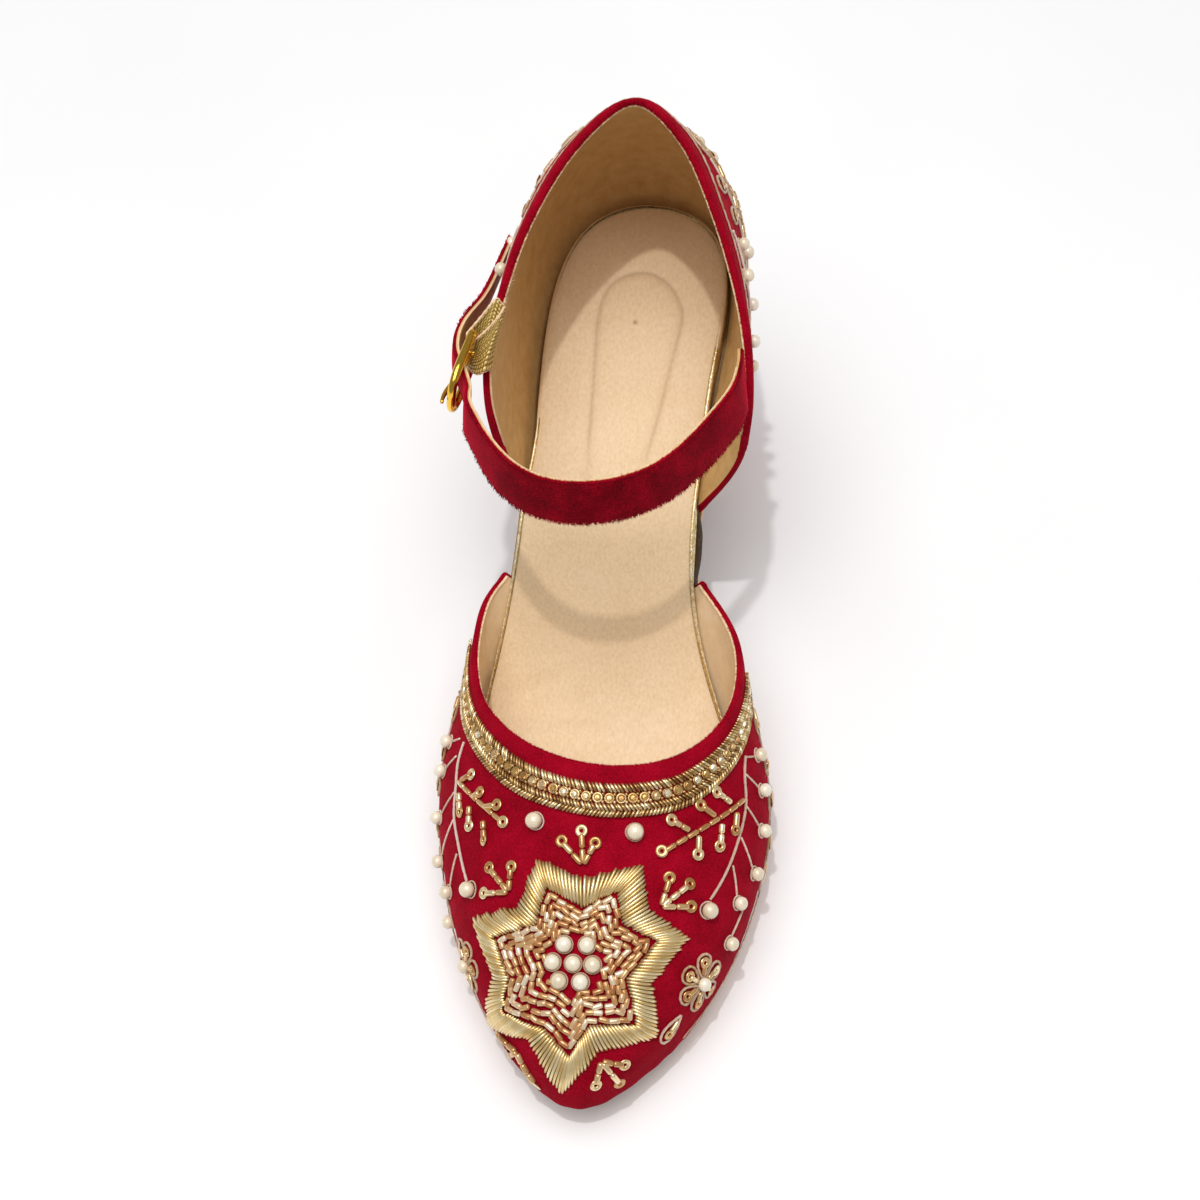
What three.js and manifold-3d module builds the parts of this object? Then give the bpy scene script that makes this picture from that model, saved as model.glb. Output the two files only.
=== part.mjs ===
// Block heel evening shoe, right foot: closed toe part and closed heel part with
// the waist open on both sides, ankle strap with a small oval buckle, wrapped heel.
// Millimetres, +Z up, toe toward -Y, heel toward +Y, inner (medial) side +X.
import * as THREE from 'three';
import { mergeVertices } from 'three/addons/utils/BufferGeometryUtils.js';
import Module from 'manifold-3d';

const wasm = await Module();
wasm.setup();

// ---------------------------------------------------------------- driving sizes
const SHOE_LENGTH = 242;       // toe tip to heel end along the sole
const ORIGIN_Y = 121.56;       // station of the frame origin
const ORIGIN_X = -0.10;        // side shift of the frame origin
const GAP = 0.3;               // clearance between neighbouring pieces
const FOOT_GAP = 0.4;          // under the upper and the insole
const WALL = 2.0;              // velvet, stiffener and lining together
const RIM_INSET = 0.9;         // upper stands inside the sole edge
const INSOLE_INSET = 3.5;
const INSOLE_T = 6.4;
const WAIST_FLARE = { from: 139.4, full: 143, until: 149.5, to: 154.2 };  // wrapped edge spreads between the two uppers
const SOLE_FOREFOOT = 3.3;
const SOLE_WAIST = 3.8;
const TREAD_STEP = 1.2;
const TREAD_END = 117.5;
const HEEL_BREAST_TOP = 190;
const HEEL_BREAST_BOTTOM = 191.6;
const HEEL_BACK_BOTTOM = 228.2;
const HEEL_HALF_BOTTOM = 21.8;
const HEEL_ROUND_FROM = 205;
const TOPLIFT_H = 4.7;
const STRAP_W = 12.8;
const STRAP_W_IN_BUCKLE = 9.2;
const STRAP_T = 1.8;
const BUCKLE_AT = { x: -38.0, s: 156.2, h: 99.5 };
const BUCKLE_TURN = { rearInward: 9, rearDown: 6, topInward: 8 };  // degrees
const BUCKLE_HALF_LONG = 9.0;  // wire centre line, along the strap
const BUCKLE_HALF_WIDE = 6.8;  // wire centre line, across the strap
const BUCKLE_WIRE_R = 1.1;
const BUCKLE_POWER = { front: 2.6, rear: 9 };   // round front, straight rear bar
const ELASTIC_W = 12.4;
const ELASTIC_T = 1.4;
const PRONG_R = 0.7;

// ---------------------------------------------------------------- tables
// Sole outline: station from the toe, side shift of the centre, half width.
const OUTLINE = {
  cols: ['station', 'centre', 'half'],
  rows: [
    [0, 0.3, 0], [8, 0.6, 13.9], [25, 1.0, 27.1], [50, 0.75, 37.6], [75, 0.0, 41.8],
    [100, -1.9, 38.7], [125, -4.5, 29.4], [150, -4.2, 25.6], [180, -2.3, 26.8],
    [205, 0.0, 28.2], [222, 1.5, 26.3], [235, 2.3, 18.9], [242, 2.4, 0],
  ],
};
// Feather line: height of the sole's upper face at each station.
const PROFILE = {
  cols: ['station', 'height'],
  rows: [
    [0, 9.8], [20, 6.9], [40, 4.8], [55, 4.3], [75, 4.2], [90, 4.7], [105, 7.9], [120, 15.4],
    [135, 27.2], [150, 37.6], [170, 46.0], [190, 53.1], [210, 59.5], [228, 64.7], [242, 68.0],
  ],
};
// Upper sections. Each row is one meridian from the feather edge (rim station) to the
// top edge: rise and bulge shape its start, crown and lean (degrees inward) its end.
const VAMP = {
  cols: ['rim', 'top_s', 'top_x', 'top_h', 'rise', 'bulge', 'crown', 'lean'],
  lateral: [
    [138.5, 138.4, -32.4, 33.8, 4, 0.6, 4, 0],
    [131, 131.3, -36.0, 34.8, 10, 3, 9, -3],
    [122, 121.6, -37.4, 36.4, 19, 7, 17, 2],
    [110, 109.8, -36.8, 39.0, 28, 14, 26, 11],
    [97, 99.2, -34.2, 41.7, 36, 20, 37, 24],
    [82, 90.4, -29.4, 44.9, 42, 24, 47, 38],
    [64, 82.3, -21.3, 48.3, 46, 23, 62, 51],
    [42, 76.8, -12.0, 51.0, 50, 21, 82, 60],
    [20, 74.1, -4.3, 52.5, 55, 20, 99, 65],
  ],
  middle: [[0, 73.2, 3.0, 52.9, 58, 20, 108, 66]],
  medial: [
    [20, 73.8, 9.8, 52.6, 55, 20, 99, 65],
    [42, 76.1, 17.4, 51.6, 50, 21, 82, 60],
    [64, 80.9, 24.3, 49.8, 46, 23, 62, 51],
    [82, 88.0, 30.2, 47.1, 42, 24, 47, 37],
    [97, 98.0, 34.2, 43.8, 36, 21, 38, 21],
    [110, 109.3, 35.2, 40.7, 29, 16, 27, 7],
    [122, 120.8, 33.2, 38.0, 20, 12, 18, -3],
    [131, 130, 28.9, 36.1, 11, 6, 10, -8],
    [138.5, 138.2, 23.4, 34.8, 5, 1.2, 5, -6],
  ],
};
const COUNTER = {
  cols: VAMP.cols,
  lateral: [
    [155.4, 154.0, -31.5, 71, 26, 3, 26, -4],
    [157, 154.8, -32.8, 81, 31, 5, 31, -3],
    [159.8, 157.4, -33.7, 90.5, 36, 7, 36, 0],
    [164, 162.6, -33.6, 98, 40, 11, 40, 4],
    [172, 170, -31.8, 104.8, 44, 16, 44, 11],
    [184, 180, -28.2, 112.6, 48, 22, 47, 20],
    [196, 189, -24.4, 118.6, 50, 27, 51, 28],
    [208, 197.5, -19.8, 123.4, 52, 30, 55, 34],
    [222, 206, -13.9, 128, 54, 30, 58, 39],
    [235, 213.4, -6.6, 132, 55, 29, 60, 42],
  ],
  middle: [[242, 217.4, 1.4, 134.4, 55, 26, 60, 42]],
  medial: [
    [235, 214.2, 9.2, 132.2, 55, 18, 59, 40],
    [222, 207.5, 15.8, 128.4, 54, 14, 56, 34],
    [208, 199, 20.8, 124, 52, 17, 53, 30],
    [196, 190.5, 25, 119, 50, 25, 52, 27],
    [184, 181.4, 28.9, 113, 46, 29, 48, 20],
    [175, 173, 31.9, 106.8, 42, 28, 44, 12],
    [167, 165.6, 33.8, 99, 38, 24, 40, 5],
    [161.5, 160.6, 34.5, 92, 34, 20, 36, 2],
    [158.5, 158.2, 34.3, 84.5, 30, 17, 32, 0],
    [157, 157, 33.6, 77, 26, 15, 28, 0],
  ],
};
// Strap centre line: side position, station, height, tilt of the top edge inward (degrees).
const STRAP_FRONT = {
  cols: ['x', 'station', 'height', 'tilt'],
  rows: [
    [29.6, 166.0, 95.2, 2], [30.1, 160.5, 95.8, 5], [30.5, 154.5, 96.5, 12], [28.2, 147.0, 97, 15], [23.0, 138.4, 97, 15],
    [13.1, 127.6, 97, 14], [-2.8, 121.4, 97, 15], [-18.0, 123.6, 97, 14], [-28.9, 133.4, 97.4, 11], [-32.8, 139.4, 98.6, 8],
  ],
};
const STRAP_TAIL = {
  cols: ['x', 'station', 'height', 'tilt'],
  rows: [[-38.3, 175, 97.4, 14], [-36.5, 184, 94.6, 16], [-35.3, 195, 91.0, 16], [-34.5, 206, 87.2, 16]],
};
// Strap through the buckle: distance along, offset outward from the frame plane, share of the narrowing.
const STRAP_THREAD = {
  cols: ['along', 'out', 'narrow'],
  rows: [[-11.0, -4.6, 0], [-8.2, -4.0, 0.35], [-5.4, -2.9, 0.9], [-2.6, -1.3, 1], [0.4, 0.7, 1], [3.2, 2.5, 1],
    [6.2, 3.6, 0.8], [9.2, 4.0, 0.35], [12.2, 3.8, 0]],
};

// ---------------------------------------------------------------- small maths
// Natural cubic spline through the points (xs, ys).
function spline(xs, ys) {
  const n = xs.length, m = new Array(n).fill(0), c = new Array(n).fill(0), d = new Array(n).fill(0);
  for (let i = 1; i < n - 1; i++) {
    const h0 = xs[i] - xs[i - 1], h1 = xs[i + 1] - xs[i];
    const r = 6 * ((ys[i + 1] - ys[i]) / h1 - (ys[i] - ys[i - 1]) / h0);
    const b = 2 * (h0 + h1) - h0 * c[i - 1];
    c[i] = h1 / b;
    d[i] = (r - h0 * d[i - 1]) / b;
  }
  for (let i = n - 2; i > 0; i--) m[i] = d[i] - c[i] * m[i + 1];
  return (x) => {
    let i = 0;
    while (i < n - 2 && x > xs[i + 1]) i++;
    const h = xs[i + 1] - xs[i], a = (xs[i + 1] - x) / h, b = (x - xs[i]) / h;
    return a * ys[i] + b * ys[i + 1] + ((a ** 3 - a) * m[i] + (b ** 3 - b) * m[i + 1]) * h * h / 6;
  };
}
const column = (table, name) => table.rows.map((r) => r[table.cols.indexOf(name)]);
const angleOf = (s) => Math.acos(THREE.MathUtils.clamp(1 - 2 * s / SHOE_LENGTH, -1, 1));
const stationOf = (f) => SHOE_LENGTH / 2 * (1 - Math.cos(f));
const place = (x, s, h) => new THREE.Vector3(x - ORIGIN_X, s - ORIGIN_Y, h);

const halfAt = spline(column(OUTLINE, 'station').map(angleOf), column(OUTLINE, 'half'));
const centreAt = spline(column(OUTLINE, 'station'), column(OUTLINE, 'centre'));
const featherAt = spline(column(PROFILE, 'station'), column(PROFILE, 'height'));

// Sole rim at outline angle f (0 toe, PI heel) on one side, pushed inward by inset.
function rim(side, f, inset = 0) {
  const at = (g) => [centreAt(stationOf(g)) + side * halfAt(g), stationOf(g)];
  const e = 1e-3, f0 = Math.max(0, f - e), f1 = Math.min(Math.PI, f + e);
  const p = at(f), a = at(f0), b = at(f1);
  let nx = (b[1] - a[1]) * side, ny = -(b[0] - a[0]) * side;
  if (f < 1e-6) { nx = 0; ny = -1; }
  if (f > Math.PI - 1e-6) { nx = 0; ny = 1; }
  const l = Math.hypot(nx, ny);
  return { x: p[0] - inset * nx / l, s: p[1] - inset * ny / l, nx: nx / l, ny: ny / l };
}
function soleBottom(s) {
  const slope = (featherAt(s + 0.5) - featherAt(s - 0.5));
  const fore = THREE.MathUtils.smoothstep(s, 100, 130);
  const t = (SOLE_FOREFOOT * (1 - fore) + SOLE_WAIST * fore) * Math.hypot(1, slope);
  const tread = s < TREAD_END ? TREAD_STEP * Math.hypot(1, slope) : 0;
  return Math.max(0, featherAt(s) - t - tread);
}

// ---------------------------------------------------------------- mesh helpers
function geometryFrom(points, triangles) {
  const g = new THREE.BufferGeometry();
  g.setAttribute('position', new THREE.Float32BufferAttribute(points.flatMap((p) => [p.x, p.y, p.z]), 3));
  g.setIndex(triangles);
  return g;
}
function solid(geometry) {
  const g = geometry.clone();
  for (const k of Object.keys(g.attributes)) if (k !== 'position') g.deleteAttribute(k);
  const m = mergeVertices(g, 1e-4);
  return new wasm.Manifold(new wasm.Mesh({
    numProp: 3,
    vertProperties: new Float32Array(m.attributes.position.array),
    triVerts: new Uint32Array(m.index.array),
  }));
}
function geometryOf(manifold) {
  const m = manifold.getMesh(), g = new THREE.BufferGeometry(), v = [];
  for (let i = 0; i < m.numVert; i++) v.push(...m.vertProperties.slice(i * m.numProp, i * m.numProp + 3));
  g.setAttribute('position', new THREE.Float32BufferAttribute(v, 3));
  g.setIndex(Array.from(m.triVerts));
  return g;
}
// Closed solid from equal rings of points; each cap is a ladder from side to side.
function stack(rings) {
  const n = rings[0].length, half = n / 2, tri = [], pts = rings.flat();
  for (let k = 0; k + 1 < rings.length; k++)
    for (let i = 0; i < n; i++) {
      const a = k * n + i, b = k * n + (i + 1) % n, c = a + n, d = b + n;
      tri.push(a, b, d, a, d, c);
    }
  const cap = (o, flip) => {
    for (let i = 0; i < half; i++) {
      const a = o + i, b = o + i + 1, c = o + (n - i) % n, d = o + n - i - 1;
      const quad = i === 0 ? [[a, d, b]] : i === half - 1 ? [[a, c, b]] : [[a, c, d], [a, d, b]];
      for (const [p, q, r] of quad) flip ? tri.push(p, q, r) : tri.push(p, r, q);
    }
  };
  cap(0, true);
  cap((rings.length - 1) * n, false);
  return geometryFrom(pts, tri);
}
// Ring of rim points toe - lateral - heel - medial for a list of outline angles.
// The inset is a number, or a function of side and station.
function rimRing(angles, inset, height) {
  const ring = [];
  const put = (side, f) => {
    const r = rim(side, f, typeof inset === 'number' ? inset : inset(side, stationOf(f)));
    ring.push(place(r.x, r.s, height(r.s)));
  };
  put(-1, 0);
  for (const f of angles) put(-1, f);
  put(-1, Math.PI);
  for (const f of [...angles].reverse()) put(1, f);
  return ring;
}
// Closed surface over a run of equal rings, with both ends capped.
function ribbon(sections) {
  const m = sections[0].length, n = sections.length, tri = [];
  for (let k = 0; k + 1 < n; k++)
    for (let i = 0; i < m; i++) {
      const a = k * m + i, b = k * m + (i + 1) % m;
      tri.push(a, b, b + m, a, b + m, a + m);
    }
  for (let i = 1; i + 1 < m; i++) {
    tri.push(0, i + 1, i);
    const o = (n - 1) * m;
    tri.push(o, o + i, o + i + 1);
  }
  return geometryFrom(sections.flat(), tri);
}
function outward(geometry) {
  const p = geometry.attributes.position, ix = geometry.index.array;
  const a = new THREE.Vector3(), b = new THREE.Vector3(), c = new THREE.Vector3();
  let v = 0;
  for (let i = 0; i < ix.length; i += 3) {
    a.fromBufferAttribute(p, ix[i]); b.fromBufferAttribute(p, ix[i + 1]); c.fromBufferAttribute(p, ix[i + 2]);
    v += a.dot(b.cross(c));
  }
  if (v < 0) {
    const r = Array.from(ix);
    for (let i = 0; i < r.length; i += 3) [r[i + 1], r[i + 2]] = [r[i + 2], r[i + 1]];
    geometry.setIndex(r);
  }
  return geometry;
}

// ---------------------------------------------------------------- sole and heel
const soleAngles = [];
for (let i = 1; i < 36; i++) soleAngles.push(Math.PI * i / 36);
soleAngles.push(angleOf(TREAD_END - 0.4), angleOf(TREAD_END + 0.4));
soleAngles.sort((a, b) => a - b);
const outsole = outward(stack([
  rimRing(soleAngles, 0.8, soleBottom),
  rimRing(soleAngles, 0, (s) => soleBottom(s) + 0.7),
  rimRing(soleAngles, 0, (s) => featherAt(s) - 0.4),
  rimRing(soleAngles, 0.4, featherAt),
]));

const insoleAngles = [];
for (let i = 1; i < 36; i++) insoleAngles.push(Math.PI * i / 36);
for (const s of [WAIST_FLARE.from, 144, 148.5, 150.5, WAIST_FLARE.to]) insoleAngles.push(angleOf(s));
insoleAngles.sort((a, b) => a - b);
const atWaist = (s) => THREE.MathUtils.smoothstep(s, WAIST_FLARE.from, WAIST_FLARE.full)
  * (1 - THREE.MathUtils.smoothstep(s, WAIST_FLARE.until, WAIST_FLARE.to));
const wallInset = (side, s) => INSOLE_INSET - (side < 0 ? 2.0 : 3.0) * atWaist(s);
const topInset = (side, s) => INSOLE_INSET + 1 - (side < 0 ? 2.4 : 1.3) * atWaist(s);
const insoleThick = (s) => INSOLE_T * (0.6 + 0.4 * THREE.MathUtils.smoothstep(s, 10, 70));
const insole = outward(stack([
  rimRing(insoleAngles, wallInset, (s) => featherAt(s) + FOOT_GAP),
  rimRing(insoleAngles, (side, s) => (side < 0 ? wallInset(side, s) : (wallInset(side, s) + 2 * topInset(side, s) - 2) / 3), (s) => featherAt(s) + insoleThick(s) - 1),
  rimRing(insoleAngles, topInset, (s) => featherAt(s) + insoleThick(s)),
]));

// Heel: share 0 at the breast to 1 at the back; lower and upper outlines of the block.
const HEEL_STEPS = 14;
const heelSpread = (q) => Math.sin(q * Math.PI / 2);
const heelTopAngle = (q) => angleOf(HEEL_BREAST_TOP) + (Math.PI - angleOf(HEEL_BREAST_TOP)) * q;
function heelBottomPoint(side, q, grow) {
  const s = HEEL_BREAST_BOTTOM + (HEEL_BACK_BOTTOM - HEEL_BREAST_BOTTOM) * heelSpread(q);
  const u = Math.max(0, (s - HEEL_ROUND_FROM) / (HEEL_BACK_BOTTOM - HEEL_ROUND_FROM));
  const w = HEEL_HALF_BOTTOM * Math.pow(Math.max(0, 1 - Math.pow(u, 2.3)), 1 / 2.3);
  const breast = q === 0 ? -grow : 0, back = q === 1 ? grow : 0;
  return [centreAt(212) + side * (w + (q < 1 ? grow : 0)), s + breast + back];
}
function heelRing(level) {
  const ring = [], hollow = 0.9 * Math.sin(Math.PI * level);
  const put = (side, q) => {
    const b = heelBottomPoint(side, q, 0), t = rim(side, heelTopAngle(q), 1.0);
    const x = b[0] + (t.x - b[0]) * level - side * hollow * (q < 1 ? 1 : 0);
    const s = b[1] + (t.s - b[1]) * level;
    const base = TOPLIFT_H + GAP, top = soleBottom(t.s) - GAP;
    ring.push(place(x, s, base + (top - base) * level));
  };
  put(-1, 0);
  for (let i = 1; i < HEEL_STEPS; i++) put(-1, i / HEEL_STEPS);
  put(-1, 1);
  for (let i = HEEL_STEPS - 1; i > 0; i--) put(1, i / HEEL_STEPS);
  put(1, 0);
  return ring;
}
function topliftRing(grow, h) {
  const ring = [];
  const put = (side, q) => { const b = heelBottomPoint(side, q, grow); ring.push(place(b[0], b[1], h)); };
  put(-1, 0);
  for (let i = 1; i < HEEL_STEPS; i++) put(-1, i / HEEL_STEPS);
  put(-1, 1);
  for (let i = HEEL_STEPS - 1; i > 0; i--) put(1, i / HEEL_STEPS);
  put(1, 0);
  return ring;
}
// Closed solid from rings that start and end at the two breast corners.
function stackOpenD(rings) {
  const n = rings[0].length, tri = [], pts = rings.flat();
  for (let k = 0; k + 1 < rings.length; k++)
    for (let i = 0; i < n; i++) {
      const a = k * n + i, b = k * n + (i + 1) % n;
      tri.push(a, b, b + n, a, b + n, a + n);
    }
  const cap = (o, flip) => {
    const m = (n - 1) / 2;
    for (let i = 0; i < m; i++) {
      const a = o + i, b = o + i + 1, c = o + n - 1 - i, d = o + n - 2 - i;
      const faces = i === m - 1 ? [[a, c, b]] : [[a, c, d], [a, d, b]];
      for (const [p, q, r] of faces) flip ? tri.push(p, q, r) : tri.push(p, r, q);
    }
  };
  cap(0, true);
  cap((rings.length - 1) * n, false);
  return geometryFrom(pts, tri);
}
const heelBlock = outward(stackOpenD([0, 0.25, 0.5, 0.75, 1].map(heelRing)));
const heelToplift = outward(stackOpenD([topliftRing(-0.5, 0), topliftRing(0.1, 0.6), topliftRing(0.1, TOPLIFT_H)]));

// ---------------------------------------------------------------- hollow upper
// Signed length along the rim from the middle row (toe or heel end), medial positive.
const RIM_STEPS = 600;
function rimLength(side, fromToe) {
  const f = [], l = [];
  let last = null, sum = 0;
  for (let i = 0; i <= RIM_STEPS; i++) {
    const g = fromToe ? Math.PI * i / RIM_STEPS : Math.PI * (1 - i / RIM_STEPS);
    const p = rim(side, g);
    if (last) sum += Math.hypot(p.x - last.x, p.s - last.s);
    last = p; f.push(g); l.push(sum);
  }
  const find = (xs, ys, x) => {
    let i = 0;
    const up = xs[xs.length - 1] > xs[0];
    while (i < xs.length - 2 && (up ? x > xs[i + 1] : x < xs[i + 1])) i++;
    return ys[i] + (ys[i + 1] - ys[i]) * (x - xs[i]) / (xs[i + 1] - xs[i]);
  };
  return { lengthAt: (s) => find(f, l, angleOf(s)), angleAt: (d) => find(l, f, d) };
}
function upperShell(table, fromToe) {
  const lat = rimLength(-1, fromToe), med = rimLength(1, fromToe);
  const rows = [
    ...table.lateral.map((r) => [-lat.lengthAt(r[0]), r]),
    ...table.middle.map((r) => [0, r]),
    ...table.medial.map((r) => [med.lengthAt(r[0]), r]),
  ];
  const at = rows.map((r) => r[0]);
  const fn = {};
  table.cols.forEach((name, k) => { fn[name] = spline(at, rows.map((r) => r[1][k])); });
  const point = (d, t) => {
    const side = d < 0 ? -1 : 1;
    const r = rim(side, (d < 0 ? lat : med).angleAt(Math.abs(d)), RIM_INSET);
    const lean = THREE.MathUtils.degToRad(fn.lean(d));
    const F = new THREE.Vector3(r.x, r.s, featherAt(r.s) + FOOT_GAP);
    const T = new THREE.Vector3(fn.top_x(d), fn.top_s(d), fn.top_h(d));
    const mF = new THREE.Vector3(r.nx * fn.bulge(d), r.ny * fn.bulge(d), fn.rise(d));
    const mT = new THREE.Vector3(-r.nx * Math.sin(lean), -r.ny * Math.sin(lean), Math.cos(lean)).multiplyScalar(fn.crown(d));
    const t2 = t * t, t3 = t2 * t;
    return F.multiplyScalar(2 * t3 - 3 * t2 + 1).addScaledVector(mF, t3 - 2 * t2 + t)
      .addScaledVector(T, 3 * t2 - 2 * t3).addScaledVector(mT, t3 - t2);
  };
  return { from: at[0], to: at[at.length - 1], rows: at, point };
}
// Wall of even thickness on a shell: outer and inner grids joined round all four edges.
function wall(shell, nd, nt, facing) {
  const e = 0.05, outer = [], inner = [];
  for (let i = 0; i <= nd; i++) {
    const d = shell.from + (shell.to - shell.from) * i / nd;
    const oRow = [], iRow = [];
    for (let j = 0; j <= nt; j++) {
      const t = j / nt;
      const p = shell.point(d, t);
      const d0 = Math.max(shell.from, d - e), d1 = Math.min(shell.to, d + e);
      const t0 = Math.max(0, t - 0.004), t1 = Math.min(1, t + 0.004);
      const n = shell.point(d1, t).sub(shell.point(d0, t)).cross(shell.point(d, t1).sub(shell.point(d, t0))).normalize();
      const q = p.clone().addScaledVector(n, -facing * WALL);
      if (j === 0) q.z = featherAt(q.y) + FOOT_GAP;
      oRow.push(place(p.x, p.y, p.z));
      iRow.push(place(q.x, q.y, q.z));
    }
    outer.push(oRow); inner.push(iRow);
  }
  const m = nt + 1, count = (nd + 1) * m, tri = [];
  const O = (i, j) => i * m + j, I = (i, j) => count + i * m + j;
  const quad = (a, b, c, d) => tri.push(a, b, c, a, c, d);
  for (let i = 0; i < nd; i++)
    for (let j = 0; j < nt; j++) {
      quad(O(i, j), O(i + 1, j), O(i + 1, j + 1), O(i, j + 1));
      quad(I(i, j), I(i, j + 1), I(i + 1, j + 1), I(i + 1, j));
    }
  for (let i = 0; i < nd; i++) {
    quad(O(i + 1, 0), O(i, 0), I(i, 0), I(i + 1, 0));
    quad(O(i, nt), O(i + 1, nt), I(i + 1, nt), I(i, nt));
  }
  for (let j = 0; j < nt; j++) {
    quad(O(0, j), O(0, j + 1), I(0, j + 1), I(0, j));
    quad(O(nd, j + 1), O(nd, j), I(nd, j), I(nd, j + 1));
  }
  return outward(geometryFrom([...outer.flat(), ...inner.flat()], tri));
}
const vampShell = upperShell(VAMP, true);
const counterShell = upperShell(COUNTER, false);
const vamp = wall(vampShell, 46, 9, 1);
const heelCounter = wall(counterShell, 44, 8, -1);

// ---------------------------------------------------------------- strap, buckle, elastic
const degrees = THREE.MathUtils.degToRad;
const buckleAlong = new THREE.Vector3(Math.sin(degrees(BUCKLE_TURN.rearInward)), Math.cos(degrees(BUCKLE_TURN.rearInward)), -Math.sin(degrees(BUCKLE_TURN.rearDown))).normalize();
const buckleUp = new THREE.Vector3(Math.sin(degrees(BUCKLE_TURN.topInward)), 0, Math.cos(degrees(BUCKLE_TURN.topInward)));
buckleUp.addScaledVector(buckleAlong, -buckleUp.dot(buckleAlong)).normalize();
const buckleIn = new THREE.Vector3().crossVectors(buckleAlong, buckleUp);
const buckleMatrix = new THREE.Matrix4().makeBasis(buckleIn, buckleAlong, buckleUp).setPosition(place(BUCKLE_AT.x, BUCKLE_AT.s, BUCKLE_AT.h));
// Buckle pieces are made about the frame's own centre: inward, along the strap, up.
const inBuckle = (along, up, out) => new THREE.Vector3(-out, along, up);
const strapStops = [];
for (const [x, s, h, tilt] of STRAP_FRONT.rows) strapStops.push({ x, s, h, tilt, narrow: 0 });
for (const [along, out, narrow] of STRAP_THREAD.rows) {
  const p = new THREE.Vector3(BUCKLE_AT.x, BUCKLE_AT.s, BUCKLE_AT.h).addScaledVector(buckleAlong, along).addScaledVector(buckleIn, -out);
  strapStops.push({ x: p.x, s: p.y, h: p.z, tilt: BUCKLE_TURN.topInward, narrow });
}
for (const [x, s, h, tilt] of STRAP_TAIL.rows) strapStops.push({ x, s, h, tilt, narrow: 0 });
const strapRun = [0];
for (let i = 1; i < strapStops.length; i++) {
  const a = strapStops[i - 1], b = strapStops[i];
  strapRun.push(strapRun[i - 1] + Math.hypot(b.x - a.x, b.s - a.s, b.h - a.h));
}
const strapFn = {};
for (const k of ['x', 's', 'h', 'tilt', 'narrow']) strapFn[k] = spline(strapRun, strapStops.map((p) => p[k]));
function strapSection(d) {
  const e = 0.02, L = strapRun[strapRun.length - 1];
  const at = (g) => new THREE.Vector3(strapFn.x(g), strapFn.s(g), strapFn.h(g));
  const p = at(d), T = at(Math.min(L, d + e)).sub(at(Math.max(0, d - e))).normalize();
  const out = new THREE.Vector3(-T.y, T.x, 0).normalize();   // away from the ankle
  const tilt = THREE.MathUtils.degToRad(strapFn.tilt(d));
  const up = new THREE.Vector3(0, 0, Math.cos(tilt)).addScaledVector(out, -Math.sin(tilt));
  up.addScaledVector(T, -up.dot(T)).normalize();
  const n = new THREE.Vector3().crossVectors(T, up).normalize();
  if (n.dot(out) < 0) n.negate();
  const k = THREE.MathUtils.clamp(strapFn.narrow(d), 0, 1);
  const w = (STRAP_W * (1 - k) + STRAP_W_IN_BUCKLE * k) / 2, t = STRAP_T / 2;
  return [[-w, -t], [w, -t], [w, t], [-w, t]].map(([a, b]) => {
    const q = p.clone().addScaledVector(up, a).addScaledVector(n, b);
    return place(q.x, q.y, q.z);
  });
}
const strapSections = [];
{
  const L = strapRun[strapRun.length - 1], a = strapRun[STRAP_FRONT.rows.length - 1];
  const b = strapRun[STRAP_FRONT.rows.length + STRAP_THREAD.rows.length];
  for (let i = 0; i < 34; i++) strapSections.push(strapSection(a * i / 34));
  for (let i = 0; i < 26; i++) strapSections.push(strapSection(a + (b - a) * i / 26));
  for (let i = 0; i <= 10; i++) strapSections.push(strapSection(b + (L - b) * i / 10));
}
let strapGeometry = outward(ribbon(strapSections));

// Round wire loop in the frame plane.
function wireLoop(points, r, sides) {
  const n = points.length, pts = [], tri = [];
  for (let i = 0; i < n; i++) {
    const a = points[(i + n - 1) % n], b = points[(i + 1) % n];
    const T = b.clone().sub(a).normalize(), X = new THREE.Vector3(1, 0, 0);
    const U = new THREE.Vector3().crossVectors(T, X).normalize();
    for (let k = 0; k < sides; k++) {
      const g = 2 * Math.PI * k / sides;
      pts.push(points[i].clone().addScaledVector(U, r * Math.cos(g)).addScaledVector(X, r * Math.sin(g)));
    }
  }
  for (let i = 0; i < n; i++)
    for (let k = 0; k < sides; k++) {
      const a = i * sides + k, b = i * sides + (k + 1) % sides, j = ((i + 1) % n) * sides;
      tri.push(a, b, j + (k + 1) % sides, a, j + (k + 1) % sides, j + k);
    }
  return outward(geometryFrom(pts, tri));
}
const loopPoints = [];
for (let i = 0; i < 40; i++) {
  const g = 2 * Math.PI * (i + 0.5) / 40, c = Math.cos(g), s = Math.sin(g), k = 2 / (c > 0 ? BUCKLE_POWER.rear : BUCKLE_POWER.front);
  loopPoints.push(inBuckle(BUCKLE_HALF_LONG * Math.sign(c) * Math.abs(c) ** k, BUCKLE_HALF_WIDE * Math.sign(s) * Math.abs(s) ** k, 0));
}
const roundShape = (r, n) => new THREE.Shape(Array.from({ length: n }, (_, i) =>
  new THREE.Vector2(r * Math.cos(2 * Math.PI * i / n), r * Math.sin(2 * Math.PI * i / n))));
function wire(points, r, steps, sides = 8) {
  const path = new THREE.CurvePath();
  for (let i = 0; i + 1 < points.length; i++) path.add(new THREE.LineCurve3(points[i], points[i + 1]));
  const curve = new THREE.CatmullRomCurve3(points, false, 'centripetal');
  return new THREE.ExtrudeGeometry(roundShape(r, sides), { steps, bevelEnabled: false, extrudePath: points.length === 2 ? path.curves[0] : curve });
}
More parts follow.
